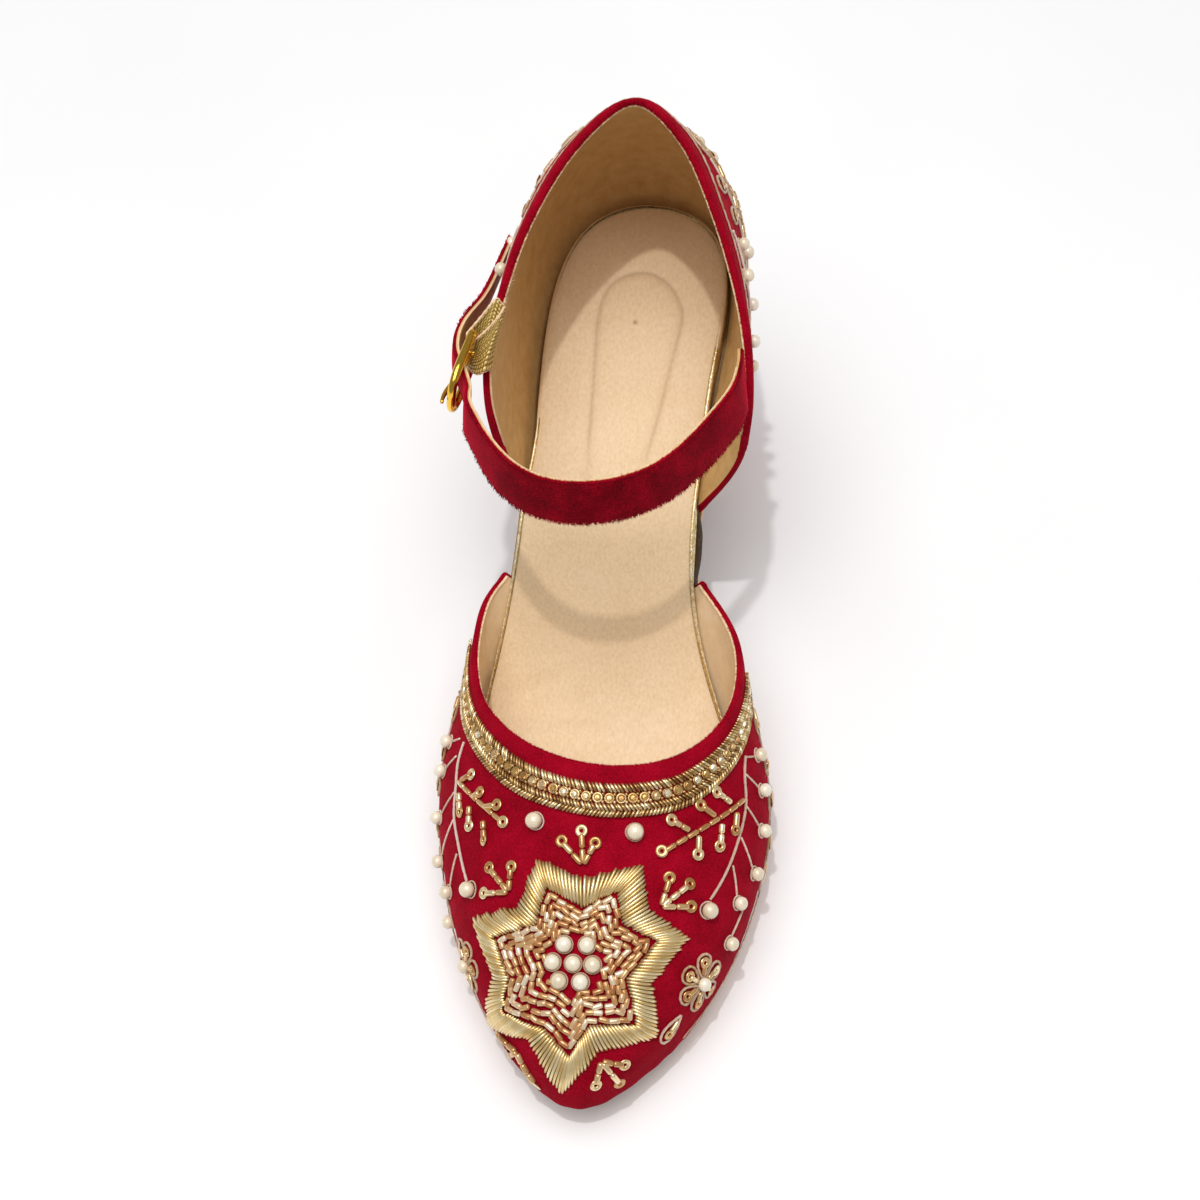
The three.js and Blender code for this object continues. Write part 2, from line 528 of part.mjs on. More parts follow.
const buckleGeometry = wireLoop(loopPoints, BUCKLE_WIRE_R, 8).applyMatrix4(buckleMatrix);

// Prong: an eye round the rear bar and a bent shaft that rests over the front of the frame.
const eyeR = BUCKLE_WIRE_R + GAP;
const eyeProfile = [[eyeR, -1.1], [eyeR + 0.9, -1.1], [eyeR + 0.9, 1.1], [eyeR, 1.1], [eyeR, -1.1]].map(([r, z]) => new THREE.Vector2(r, z));
const eyeGeometry = new THREE.LatheGeometry(eyeProfile, 16).rotateX(Math.PI / 2).translate(0, BUCKLE_HALF_LONG, 0).applyMatrix4(buckleMatrix);
const PRONG_SHAFT = { cols: ['along', 'out'], rows: [[7.3, 0.1], [4.6, 0.2], [1.6, 0.45], [-2, 1.0], [-5.6, 1.75], [-9, 2.15], [-10.3, 1.95]] };
const shaft = (r) => wire(PRONG_SHAFT.rows.map(([a, o]) => inBuckle(a, 0, o)), r, 16, 8).applyMatrix4(buckleMatrix);
const prongGeometry = geometryOf(solid(outward2(eyeGeometry)).add(solid(shaft(PRONG_R))));
function outward2(g) {
  const h = g.clone();
  for (const k of Object.keys(h.attributes)) if (k !== 'position') h.deleteAttribute(k);
  return outward(mergeVertices(h, 1e-4));
}
strapGeometry = geometryOf(solid(strapGeometry).subtract(solid(shaft(PRONG_R + 0.4))));

// Elastic: a sleeve round the rear bar, slotted for the prong, and a web to the outer wall.
const half = ELASTIC_W / 2 - 1.7;
const sleeveProfile = [[eyeR, -half], [eyeR + 0.9, -half], [eyeR + 0.9, half], [eyeR, half], [eyeR, -half]].map(([r, z]) => new THREE.Vector2(r, z));
const sleeve = new THREE.LatheGeometry(sleeveProfile, 16).rotateX(Math.PI / 2).translate(0, BUCKLE_HALF_LONG, 0).applyMatrix4(buckleMatrix);
const WEB = {
  cols: ['x', 'station', 'height'],
  top: [[-36.0, 163.2, 103.1], [-34.9, 162.6, 104.2], [-33.5, 166.6, 105.2]],
  low: [[-37.3, 162.2, 93.9], [-36.0, 159.6, 93.6], [-34.5, 157.2, 93.0]],
};
const webRows = [];
for (let i = 0; i < WEB.top.length; i++) {
  const a = place(...WEB.low[i]), b = place(...WEB.top[i]);
  const n = new THREE.Vector3(-0.45, -0.89, 0).normalize().multiplyScalar(ELASTIC_T / 2);
  webRows.push([a.clone().sub(n), b.clone().sub(n), b.clone().add(n), a.clone().add(n)]);
}
const slot = new THREE.BoxGeometry(5.4, 5.4, 2.9).translate(0, BUCKLE_HALF_LONG, 0).applyMatrix4(buckleMatrix);
const shaftSlot = new THREE.BoxGeometry(2.6, 9, 2.9).translate(-0.3, BUCKLE_HALF_LONG - 5, 0).applyMatrix4(buckleMatrix);
const elasticGeometry = geometryOf(solid(outward2(sleeve)).add(solid(outward(ribbon(webRows)))).subtract(solid(slot)).subtract(solid(shaftSlot)));

// ---------------------------------------------------------------- assembly
const shoe = new THREE.Group();
function piece(name, geometry, color, roughness, metalness = 0) {
  const mesh = new THREE.Mesh(geometry, new THREE.MeshStandardMaterial({ color, roughness, metalness }));
  mesh.name = name;
  shoe.add(mesh);
}
piece('outsole', outsole, 0xe0a040, 0.55);
piece('heel_block', heelBlock, 0xa00820, 0.85);
piece('heel_toplift', heelToplift, 0xe0b87c, 0.6);
piece('vamp', vamp, 0xb00a26, 0.85);
piece('heel_counter', heelCounter, 0xb00a26, 0.85);
piece('insole', insole, 0xe8cba6, 0.55);
piece('ankle_strap', strapGeometry, 0xb00a26, 0.85);
piece('buckle_frame', buckleGeometry, 0xd8a838, 0.25, 1);
piece('buckle_prong', prongGeometry, 0xd8a838, 0.25, 1);
piece('buckle_elastic', elasticGeometry, 0xc8b070, 0.6);

export default shoe;
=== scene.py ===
import math
import bpy
import numpy as np
from mathutils import Matrix


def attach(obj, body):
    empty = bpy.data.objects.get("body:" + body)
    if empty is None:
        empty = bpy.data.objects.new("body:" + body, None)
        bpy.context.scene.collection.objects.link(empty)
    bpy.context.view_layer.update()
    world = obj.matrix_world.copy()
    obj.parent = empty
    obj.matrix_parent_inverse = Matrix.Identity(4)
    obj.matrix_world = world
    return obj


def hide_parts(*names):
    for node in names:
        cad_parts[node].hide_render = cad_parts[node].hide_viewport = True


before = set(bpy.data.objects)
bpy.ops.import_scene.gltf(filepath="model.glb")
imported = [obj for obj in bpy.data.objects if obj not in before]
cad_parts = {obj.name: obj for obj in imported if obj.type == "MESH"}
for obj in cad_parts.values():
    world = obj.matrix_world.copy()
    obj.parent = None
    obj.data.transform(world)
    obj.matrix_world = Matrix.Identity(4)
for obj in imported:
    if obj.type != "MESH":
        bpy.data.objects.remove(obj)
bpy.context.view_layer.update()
rng = np.random.default_rng(11)

# ------------------------------------------------------------------ sizes of the shoe, mm
SHOE_LENGTH, ORIGIN_X, ORIGIN_Y = 242.0, -0.10, 121.56
FOOT_GAP, WALL, RIM_INSET, GAP = 0.4, 2.0, 0.9, 0.3
INSOLE_INSET, INSOLE_T = 3.5, 6.4
SOLE_FOREFOOT, SOLE_WAIST, TREAD_STEP, TREAD_END = 3.3, 3.8, 1.2, 117.5
HEEL_BREAST_TOP, HEEL_BREAST_BOTTOM, HEEL_BACK_BOTTOM = 190.0, 191.6, 228.2
HEEL_HALF_BOTTOM, HEEL_ROUND_FROM, TOPLIFT_H = 21.8, 205.0, 4.7
STRAP_W, STRAP_W_IN_BUCKLE, STRAP_T = 12.8, 9.2, 1.8
BUCKLE_X, BUCKLE_S, BUCKLE_H = -38.0, 156.2, 99.5
BUCKLE_REAR_INWARD, BUCKLE_REAR_DOWN, BUCKLE_TOP_INWARD = 9, 6, 8
BUCKLE_HALF_LONG, BUCKLE_HALF_WIDE, BUCKLE_WIRE_R = 9.0, 6.8, 1.1
BUCKLE_POWER_FRONT, BUCKLE_POWER_REAR = 2.6, 9
PRONG_R = 0.7

# station, side shift of the centre, half width
OUTLINE = [(0, .3, 0), (8, .6, 13.9), (25, 1.0, 27.1), (50, .75, 37.6), (75, 0, 41.8), (100, -1.9, 38.7),
           (125, -4.5, 29.4), (150, -4.2, 25.6), (180, -2.3, 26.8), (205, 0, 28.2), (222, 1.5, 26.3),
           (235, 2.3, 18.9), (242, 2.4, 0)]
# station, height of the sole's upper face
PROFILE = [(0, 9.8), (20, 6.9), (40, 4.8), (55, 4.3), (75, 4.2), (90, 4.7), (105, 7.9), (120, 15.4), (135, 27.2),
           (150, 37.6), (170, 46.0), (190, 53.1), (210, 59.5), (228, 64.7), (242, 68.0)]
# rim station, top station, top side, top height, rise, bulge, crown, lean
VAMP_LATERAL = [(138.5, 138.4, -32.4, 33.8, 4, .6, 4, 0), (131, 131.3, -36.0, 34.8, 10, 3, 9, -3),
                (122, 121.6, -37.4, 36.4, 19, 7, 17, 2), (110, 109.8, -36.8, 39.0, 28, 14, 26, 11),
                (97, 99.2, -34.2, 41.7, 36, 20, 37, 24), (82, 90.4, -29.4, 44.9, 42, 24, 47, 38),
                (64, 82.3, -21.3, 48.3, 46, 23, 62, 51), (42, 76.8, -12.0, 51.0, 50, 21, 82, 60),
                (20, 74.1, -4.3, 52.5, 55, 20, 99, 65)]
VAMP_MIDDLE = (0, 73.2, 3.0, 52.9, 58, 20, 108, 66)
VAMP_MEDIAL = [(20, 73.8, 9.8, 52.6, 55, 20, 99, 65), (42, 76.1, 17.4, 51.6, 50, 21, 82, 60),
               (64, 80.9, 24.3, 49.8, 46, 23, 62, 51), (82, 88.0, 30.2, 47.1, 42, 24, 47, 37),
               (97, 98.0, 34.2, 43.8, 36, 21, 38, 21), (110, 109.3, 35.2, 40.7, 29, 16, 27, 7),
               (122, 120.8, 33.2, 38.0, 20, 12, 18, -3), (131, 130, 28.9, 36.1, 11, 6, 10, -8),
               (138.5, 138.2, 23.4, 34.8, 5, 1.2, 5, -6)]
COUNTER_LATERAL = [(155.4, 154.0, -31.5, 71, 26, 3, 26, -4), (157, 154.8, -32.8, 81, 31, 5, 31, -3),
                   (159.8, 157.4, -33.7, 90.5, 36, 7, 36, 0), (164, 162.6, -33.6, 98, 40, 11, 40, 4),
                   (172, 170, -31.8, 104.8, 44, 16, 44, 11), (184, 180, -28.2, 112.6, 48, 22, 47, 20),
                   (196, 189, -24.4, 118.6, 50, 27, 51, 28), (208, 197.5, -19.8, 123.4, 52, 30, 55, 34),
                   (222, 206, -13.9, 128, 54, 30, 58, 39), (235, 213.4, -6.6, 132, 55, 29, 60, 42)]
COUNTER_MIDDLE = (242, 217.4, 1.4, 134.4, 55, 26, 60, 42)
COUNTER_MEDIAL = [(235, 214.2, 9.2, 132.2, 55, 18, 59, 40), (222, 207.5, 15.8, 128.4, 54, 14, 56, 34),
                  (208, 199, 20.8, 124, 52, 17, 53, 30), (196, 190.5, 25, 119, 50, 25, 52, 27),
                  (184, 181.4, 28.9, 113, 46, 29, 48, 20), (175, 173, 31.9, 106.8, 42, 28, 44, 12),
                  (167, 165.6, 33.8, 99, 38, 24, 40, 5), (161.5, 160.6, 34.5, 92, 34, 20, 36, 2),
                  (158.5, 158.2, 34.3, 84.5, 30, 17, 32, 0), (157, 157, 33.6, 77, 26, 15, 28, 0)]
# side, station, height, tilt of the top edge inward
STRAP_FRONT = [(29.6, 166.0, 95.2, 2), (30.1, 160.5, 95.8, 5), (30.5, 154.5, 96.5, 12), (28.2, 147.0, 97, 15), (23.0, 138.4, 97, 15),
               (13.1, 127.6, 97, 14), (-2.8, 121.4, 97, 15), (-18.0, 123.6, 97, 14), (-28.9, 133.4, 97.4, 11), (-32.8, 139.4, 98.6, 8)]
STRAP_TAIL = [(-38.3, 175, 97.4, 14), (-36.5, 184, 94.6, 16), (-35.3, 195, 91.0, 16), (-34.5, 206, 87.2, 16)]
# along, out of the frame plane, share of the narrowing
STRAP_THREAD = [(-11.0, -4.6, 0), (-8.2, -4.0, .35), (-5.4, -2.9, .9), (-2.6, -1.3, 1), (.4, .7, 1), (3.2, 2.5, 1), (6.2, 3.6, .8),
                (9.2, 4.0, .35), (12.2, 3.8, 0)]


# ------------------------------------------------------------------ shape functions
def spline(xs, ys):
    xs, ys = np.asarray(xs, float), np.asarray(ys, float)
    n = len(xs)
    m, c, d = np.zeros(n), np.zeros(n), np.zeros(n)
    for i in range(1, n - 1):
        h0, h1 = xs[i] - xs[i - 1], xs[i + 1] - xs[i]
        r = 6 * ((ys[i + 1] - ys[i]) / h1 - (ys[i] - ys[i - 1]) / h0)
        b = 2 * (h0 + h1) - h0 * c[i - 1]
        c[i] = h1 / b
        d[i] = (r - h0 * d[i - 1]) / b
    for i in range(n - 2, 0, -1):
        m[i] = d[i] - c[i] * m[i + 1]

    def at(x):
        x = np.asarray(x, float)
        i = np.clip(np.searchsorted(xs, x, side="left") - 1, 0, n - 2)
        h = xs[i + 1] - xs[i]
        a, b = (xs[i + 1] - x) / h, (x - xs[i]) / h
        return a * ys[i] + b * ys[i + 1] + ((a ** 3 - a) * m[i] + (b ** 3 - b) * m[i + 1]) * h * h / 6
    return at


def unit(v):
    return v / np.maximum(np.linalg.norm(v, axis=-1, keepdims=True), 1e-12)


def smooth(x, a, b):
    t = np.clip((np.asarray(x, float) - a) / (b - a), 0, 1)
    return t * t * (3 - 2 * t)


def place(p):
    return (np.asarray(p, float) - np.array([ORIGIN_X, ORIGIN_Y, 0.0])) / 1000.0


def angle_of(s):
    return np.arccos(np.clip(1 - 2 * np.asarray(s, float) / SHOE_LENGTH, -1, 1))


def station_of(f):
    return SHOE_LENGTH / 2 * (1 - np.cos(f))


half_at = spline([angle_of(r[0]) for r in OUTLINE], [r[2] for r in OUTLINE])
centre_at = spline([r[0] for r in OUTLINE], [r[1] for r in OUTLINE])
feather_at = spline([r[0] for r in PROFILE], [r[1] for r in PROFILE])


def rim(side, f, inset=0.0):
    f = np.asarray(f, float)
    side = np.broadcast_to(np.asarray(side, float), f.shape)

    def at(g):
        s = station_of(g)
        return centre_at(s) + side * half_at(g), s
    e = 1e-3
    px, ps = at(f)
    ax, a_s = at(np.maximum(0, f - e))
    bx, b_s = at(np.minimum(np.pi, f + e))
    nx, ny = (b_s - a_s) * side, -(bx - ax) * side
    nx = np.where((f < 1e-6) | (f > np.pi - 1e-6), 0.0, nx)
    ny = np.where(f < 1e-6, -1.0, np.where(f > np.pi - 1e-6, 1.0, ny))
    l = np.hypot(nx, ny)
    nx, ny = nx / l, ny / l
    return px - inset * nx, ps - inset * ny, nx, ny


def sole_bottom(s, tread=True):
    s = np.asarray(s, float)
    slope = feather_at(s + .5) - feather_at(s - .5)
    fore = smooth(s, 100, 130)
    k = np.hypot(1, slope)
    t = (SOLE_FOREFOOT * (1 - fore) + SOLE_WAIST * fore) * k
    step = np.where(s < TREAD_END, TREAD_STEP * k, 0) if tread else 0
    return np.maximum(0, feather_at(s) - t - step)


def insole_thick(s):
    return INSOLE_T * (.6 + .4 * smooth(s, 10, 70))


def heel_bottom(side, q, grow=0.0):
    q = np.asarray(q, float)
    s = HEEL_BREAST_BOTTOM + (HEEL_BACK_BOTTOM - HEEL_BREAST_BOTTOM) * np.sin(q * np.pi / 2)
    u = np.maximum(0, (s - HEEL_ROUND_FROM) / (HEEL_BACK_BOTTOM - HEEL_ROUND_FROM))
    w = HEEL_HALF_BOTTOM * np.maximum(0, 1 - u ** 2.3) ** (1 / 2.3)
    s = s + np.where(q <= 0, -grow, 0) + np.where(q >= 1, grow, 0)
    return centre_at(212.0) + side * (w + np.where(q < 1, grow, 0)), s


def heel_point(side, q, level):
    q, level = np.broadcast_arrays(np.asarray(q, float), np.asarray(level, float))
    bx, bs = heel_bottom(side, q)
    f0 = angle_of(HEEL_BREAST_TOP)
    tx, ts, _, _ = rim(side, f0 + (np.pi - f0) * q, 1.0)
    hollow = .9 * np.sin(np.pi * level) * np.clip((1 - q) * 8, 0, 1)
    x = bx + (tx - bx) * level - side * hollow
    s = bs + (ts - bs) * level
    lo, hi = TOPLIFT_H + GAP, sole_bottom(ts) - GAP
    return np.stack([x, s, lo + (hi - lo) * level], -1)


class Shell:
    """One hollow half of the upper: point(d, t) by rim length d and height share t."""

    def __init__(self, lateral, middle, medial, from_toe):
        self.run = {}
        for side in (-1, 1):
            g = np.linspace(0, np.pi, 601)
            if not from_toe:
                g = g[::-1]
            x, s, _, _ = rim(side, g)
            self.run[side] = (g, np.r_[0, np.cumsum(np.hypot(np.diff(x), np.diff(s)))])
        rows, at = [middle], [0.0]
        for side, table in ((-1, lateral), (1, medial)):
            g, l = self.run[side]
            o = np.argsort(g)
            for r in table:
                at.append(side * float(np.interp(angle_of(r[0]), g[o], l[o])))
                rows.append(r)
        o = np.argsort(at)
        at, rows = np.array(at)[o], np.array(rows, float)[o]
        self.lo, self.hi = at[0], at[-1]
        self.cols = [spline(at, rows[:, k]) for k in range(8)]
        self.facing = 1 if from_toe else -1

    def point(self, d, t):
        d, t = np.broadcast_arrays(np.asarray(d, float), np.asarray(t, float))
        fl = np.interp(np.abs(d), self.run[-1][1], self.run[-1][0])
        fm = np.interp(np.abs(d), self.run[1][1], self.run[1][0])
        neg = d < 0
        x, s, nx, ny = rim(np.where(neg, -1.0, 1.0), np.where(neg, fl, fm), RIM_INSET)
        _, ts, tx, th, rise, bulge, crown, lean = [c(d) for c in self.cols]
        lean = np.radians(lean)
        F = np.stack([x, s, feather_at(s) + FOOT_GAP], -1)
        T = np.stack([tx, ts, th], -1)
        mF = np.stack([nx * bulge, ny * bulge, rise], -1)
        mT = np.stack([-nx * np.sin(lean), -ny * np.sin(lean), np.cos(lean)], -1) * crown[..., None]
        t = t[..., None]
        t2, t3 = t * t, t ** 3
        return F * (2 * t3 - 3 * t2 + 1) + mF * (t3 - 2 * t2 + t) + T * (3 * t2 - 2 * t3) + mT * (t3 - t2)

    def tangents(self, d, t):
        e = .05
        d0, d1 = np.maximum(self.lo, d - e), np.minimum(self.hi, d + e)
        t0, t1 = np.maximum(0, t - .004), np.minimum(1, t + .004)
        jd = (self.point(d1, t) - self.point(d0, t)) / (d1 - d0)[..., None]
        jt = (self.point(d, t1) - self.point(d, t0)) / (t1 - t0)[..., None]
        return jd, jt

    def normal(self, d, t):
        d, t = np.broadcast_arrays(np.asarray(d, float), np.asarray(t, float))
        jd, jt = self.tangents(d, t)
        return unit(np.cross(jd, jt) * self.facing)

    def down(self, d, dist):
        """Height share at a distance (mm) below the top edge."""
        d, dist = np.broadcast_arrays(np.asarray(d, float), np.asarray(dist, float))
        k = np.linspace(1, 0, 161)
        p = self.point(d[..., None] + 0 * k, 0 * d[..., None] + k)
        run = np.concatenate([np.zeros(d.shape + (1,)), np.cumsum(np.linalg.norm(np.diff(p, axis=-2), axis=-1), -1)], -1)
        flat_r, flat_d = run.reshape(-1, 161), dist.reshape(-1)
        return np.array([np.interp(a, r, k) for a, r in zip(flat_d, flat_r)]).reshape(d.shape)

    def snap(self, p, d, t, rounds=4):
        """Nearest (d, t) to points p, from a first guess."""
        d, t = np.array(d, float), np.array(t, float)
        for _ in range(rounds):
            jd, jt = self.tangents(d, t)
            r = p - self.point(d, t)
            a, b, c = (jd * jd).sum(-1), (jd * jt).sum(-1), (jt * jt).sum(-1)
            u, v = (jd * r).sum(-1), (jt * r).sum(-1)
            det = np.maximum(a * c - b * b, 1e-9)
            d = np.clip(d + np.clip((c * u - b * v) / det, -8, 8), self.lo, self.hi)
            t = np.clip(t + np.clip((a * v - b * u) / det, -.15, .15), 0, 1)
        return d, t

    def lift(self, p, d, t, height):
        """Points p laid on the shell, raised by height."""
        d, t = self.snap(p, d, t)
        n = self.normal(d, t)
        return self.point(d, t) + n * np.asarray(height, float)[..., None], n

    def at(self, d, t):
        return self.point(d, t), self.normal(d, t)

    def path(self, rows, step=.5):
        """Smooth path through (d, t) rows: d, t along it at even steps."""
        rows = np.asarray(rows, float)
        p = self.point(rows[:, 0], rows[:, 1])
        run = np.r_[0, np.cumsum(np.linalg.norm(np.diff(p, axis=0), axis=1))]
        n = max(3, int(run[-1] / step) + 1)
        w = np.linspace(0, run[-1], n)
        return spline(run, rows[:, 0])(w), np.clip(spline(run, rows[:, 1])(w), 0, 1)


vamp = Shell(VAMP_LATERAL, VAMP_MIDDLE, VAMP_MEDIAL, True)
counter = Shell(COUNTER_LATERAL, COUNTER_MIDDLE, COUNTER_MEDIAL, False)


# ------------------------------------------------------------------ mesh helpers
class Soup:
    """Many small shapes joined into one mesh."""

    def __init__(self):
        self.v, self.f, self.tone, self.uv, self.mat, self.n = [], [], [], [], [], 0

    def add(self, verts, faces, tone=.5, uv=None, mat=0):
        verts = np.asarray(verts, float).reshape(-1, 3)
        faces = np.asarray(faces, int)
        self.v.append(verts)
        self.f.append(faces + self.n)
        self.mat.append(np.broadcast_to(np.asarray(mat, int), (len(faces),)))
        self.tone.append(np.broadcast_to(np.asarray(tone, float), (len(verts),)))
        self.uv.append(np.zeros((len(verts), 2)) if uv is None else np.asarray(uv, float).reshape(-1, 2))
        self.n += len(verts)

    def build(self, name, mats, sharp=None, flat=False):
        v = place(np.concatenate(self.v))
        faces = [f for block in self.f for f in block.tolist()]
        me = bpy.data.meshes.new(name)
        me.from_pydata(v.tolist(), [], faces)
        me.polygons.foreach_set("material_index", np.concatenate(self.mat).astype(np.int32))
        me.polygons.foreach_set("use_smooth", np.full(len(faces), not flat))
        tone = me.attributes.new("tone", "FLOAT", "POINT")
        tone.data.foreach_set("value", np.concatenate(self.tone).astype(np.float32))
        layer = me.uv_layers.new(name="UVMap")
        loop = np.empty(len(me.loops), np.int32)
        me.loops.foreach_get("vertex_index", loop)
        layer.data.foreach_set("uv", np.concatenate(self.uv)[loop].astype(np.float32).ravel())
        me.validate(clean_customdata=False)
        me.update()
        if sharp:
            me.set_sharp_from_angle(angle=math.radians(sharp))
        ob = bpy.data.objects.new(name, me)
        bpy.context.scene.collection.objects.link(ob)
        for m in (mats if isinstance(mats, (list, tuple)) else [mats]):
            me.materials.append(m)
        return ob


def strip_faces(n, m, close_m=True, close_n=False):
    """Quads over n rings of m points."""
    i, j = np.meshgrid(np.arange(n if close_n else n - 1), np.arange(m if close_m else m - 1), indexing="ij")
    i2, j2 = (i + 1) % n, (j + 1) % m
    return np.stack([i * m + j, i2 * m + j, i2 * m + j2, i * m + j2], -1).reshape(-1, 4)


def tube(p, r, normal=None, sides=8, closed=False, cap=True, flat=1.0):
    """Round bar along points p; r per point; normal steers the cross-section."""
    p = np.asarray(p, float)
    n = len(p)
    if closed:
        T = unit(np.roll(p, -1, 0) - np.roll(p, 1, 0))
    else:
        T = unit(np.gradient(p, axis=0))
    if normal is None:
        ref = np.tile(np.array([0, 0, 1.0]), (n, 1))
        bad = np.abs(T[:, 2]) > .9
        ref[bad] = [1.0, 0, 0]
    else:
        ref = np.broadcast_to(np.asarray(normal, float), (n, 3))
    N = unit(ref - (ref * T).sum(-1, keepdims=True) * T)
    B = np.cross(T, N)
    a = np.arange(sides) * 2 * np.pi / sides
    r = np.broadcast_to(np.asarray(r, float), (n,))
    v = p[:, None] + r[:, None, None] * (flat * np.cos(a)[None, :, None] * N[:, None] + np.sin(a)[None, :, None] * B[:, None])
    run = np.r_[0, np.cumsum(np.linalg.norm(np.diff(p, axis=0), axis=1))]
    uv = np.stack(np.broadcast_arrays(run[:, None] / 100, a[None] / (2 * np.pi)), -1).reshape(-1, 2)
    f = strip_faces(n, sides, True, closed)[:, ::-1]
    v = v.reshape(-1, 3)
    if cap and not closed:
        v = np.r_[v, p[:1] - T[:1] * r[0] * .35, p[-1:] + T[-1:] * r[-1] * .35]
        uv = np.r_[uv, [[0, 0]], [[run[-1] / 100, 0]]]
        k, o = np.arange(sides), (n - 1) * sides
        tri = np.r_[np.c_[(k + 1) % sides, k, np.full(sides, n * sides), np.full(sides, n * sides)],
                    np.c_[o + k, o + (k + 1) % sides, np.full(sides, n * sides + 1), np.full(sides, n * sides + 1)]]
        return v, f, tri[:, :3], uv
    return v, f, None, uv


def put_tube(soup, p, r, normal=None, sides=8, closed=False, tone=.5, cap=True, mat=0, flat=1.0):
    v, f, tri, uv = tube(p, r, normal, sides, closed, cap, flat)
    soup.add(v, f, tone, uv, mat)
    if tri is not None:
        soup.f.append(tri + soup.n - len(v))
        soup.mat.append(np.full(len(tri), mat))


def ball(nu=16, nv=10):
    th = np.linspace(0, np.pi, nv + 1)[1:-1]
    ph = np.arange(nu) * 2 * np.pi / nu
    v = np.stack([np.sin(th)[:, None] * np.cos(ph), np.sin(th)[:, None] * np.sin(ph), np.broadcast_to(np.cos(th)[:, None], (nv - 1, nu))], -1).reshape(-1, 3)
    f = strip_faces(nv - 1, nu)
    v = np.r_[v, [[0, 0, 1.0]], [[0, 0, -1.0]]]
    k, o, top = np.arange(nu), (nv - 2) * nu, (nv - 1) * nu
    tri = np.r_[np.c_[k, (k + 1) % nu, np.full(nu, top)], np.c_[o + (k + 1) % nu, o + k, np.full(nu, top + 1)]]
    return v, f, tri


BALL, BEAD = ball(), ball(10, 6)


def put_ball(soup, c, n, r, squash=.92, tone=.5, mat=0, form=BALL):
    v, f, tri = form
    x = unit(np.cross(n, [.3, .8, .52]))
    y = np.cross(n, x)
    p = c + r * (v[:, :1] * x + v[:, 1:2] * y + squash * v[:, 2:] * n)
    soup.add(p, f, tone, None, mat)
    soup.f.append(tri + soup.n - len(p))
    soup.mat.append(np.full(len(tri), mat))


def put_spikes(soup, p, direction, length, radius, tone=.5, mat=0):
    """Short pile hairs: slim three-sided spikes."""
    n = len(p)
    direction = unit(direction)
    x = unit(np.cross(direction, unit(rng.normal(size=(n, 3)))))
    y = np.cross(direction, x)
    a = np.arange(3) * 2 * np.pi / 3
    base = p[:, None] + radius * (np.cos(a)[None, :, None] * x[:, None] + np.sin(a)[None, :, None] * y[:, None])
    tip = p[:, None] + direction[:, None] * np.broadcast_to(length, (n,))[:, None, None]
    v = np.concatenate([base, tip], 1).reshape(-1, 3)
    k = np.arange(n)[:, None] * 4
    f = np.concatenate([k + np.array([[0, 1, 3]]), k + np.array([[1, 2, 3]]), k + np.array([[2, 0, 3]])], 0)
    soup.add(v, f, np.repeat(np.broadcast_to(tone, (n,)), 4), None, mat)


# ------------------------------------------------------------------ materials
def srgb(r, g, b):
    def lin(c):
        c /= 255.0
        return c / 12.92 if c <= .04045 else ((c + .055) / 1.055) ** 2.4
    return (lin(r), lin(g), lin(b), 1.0)


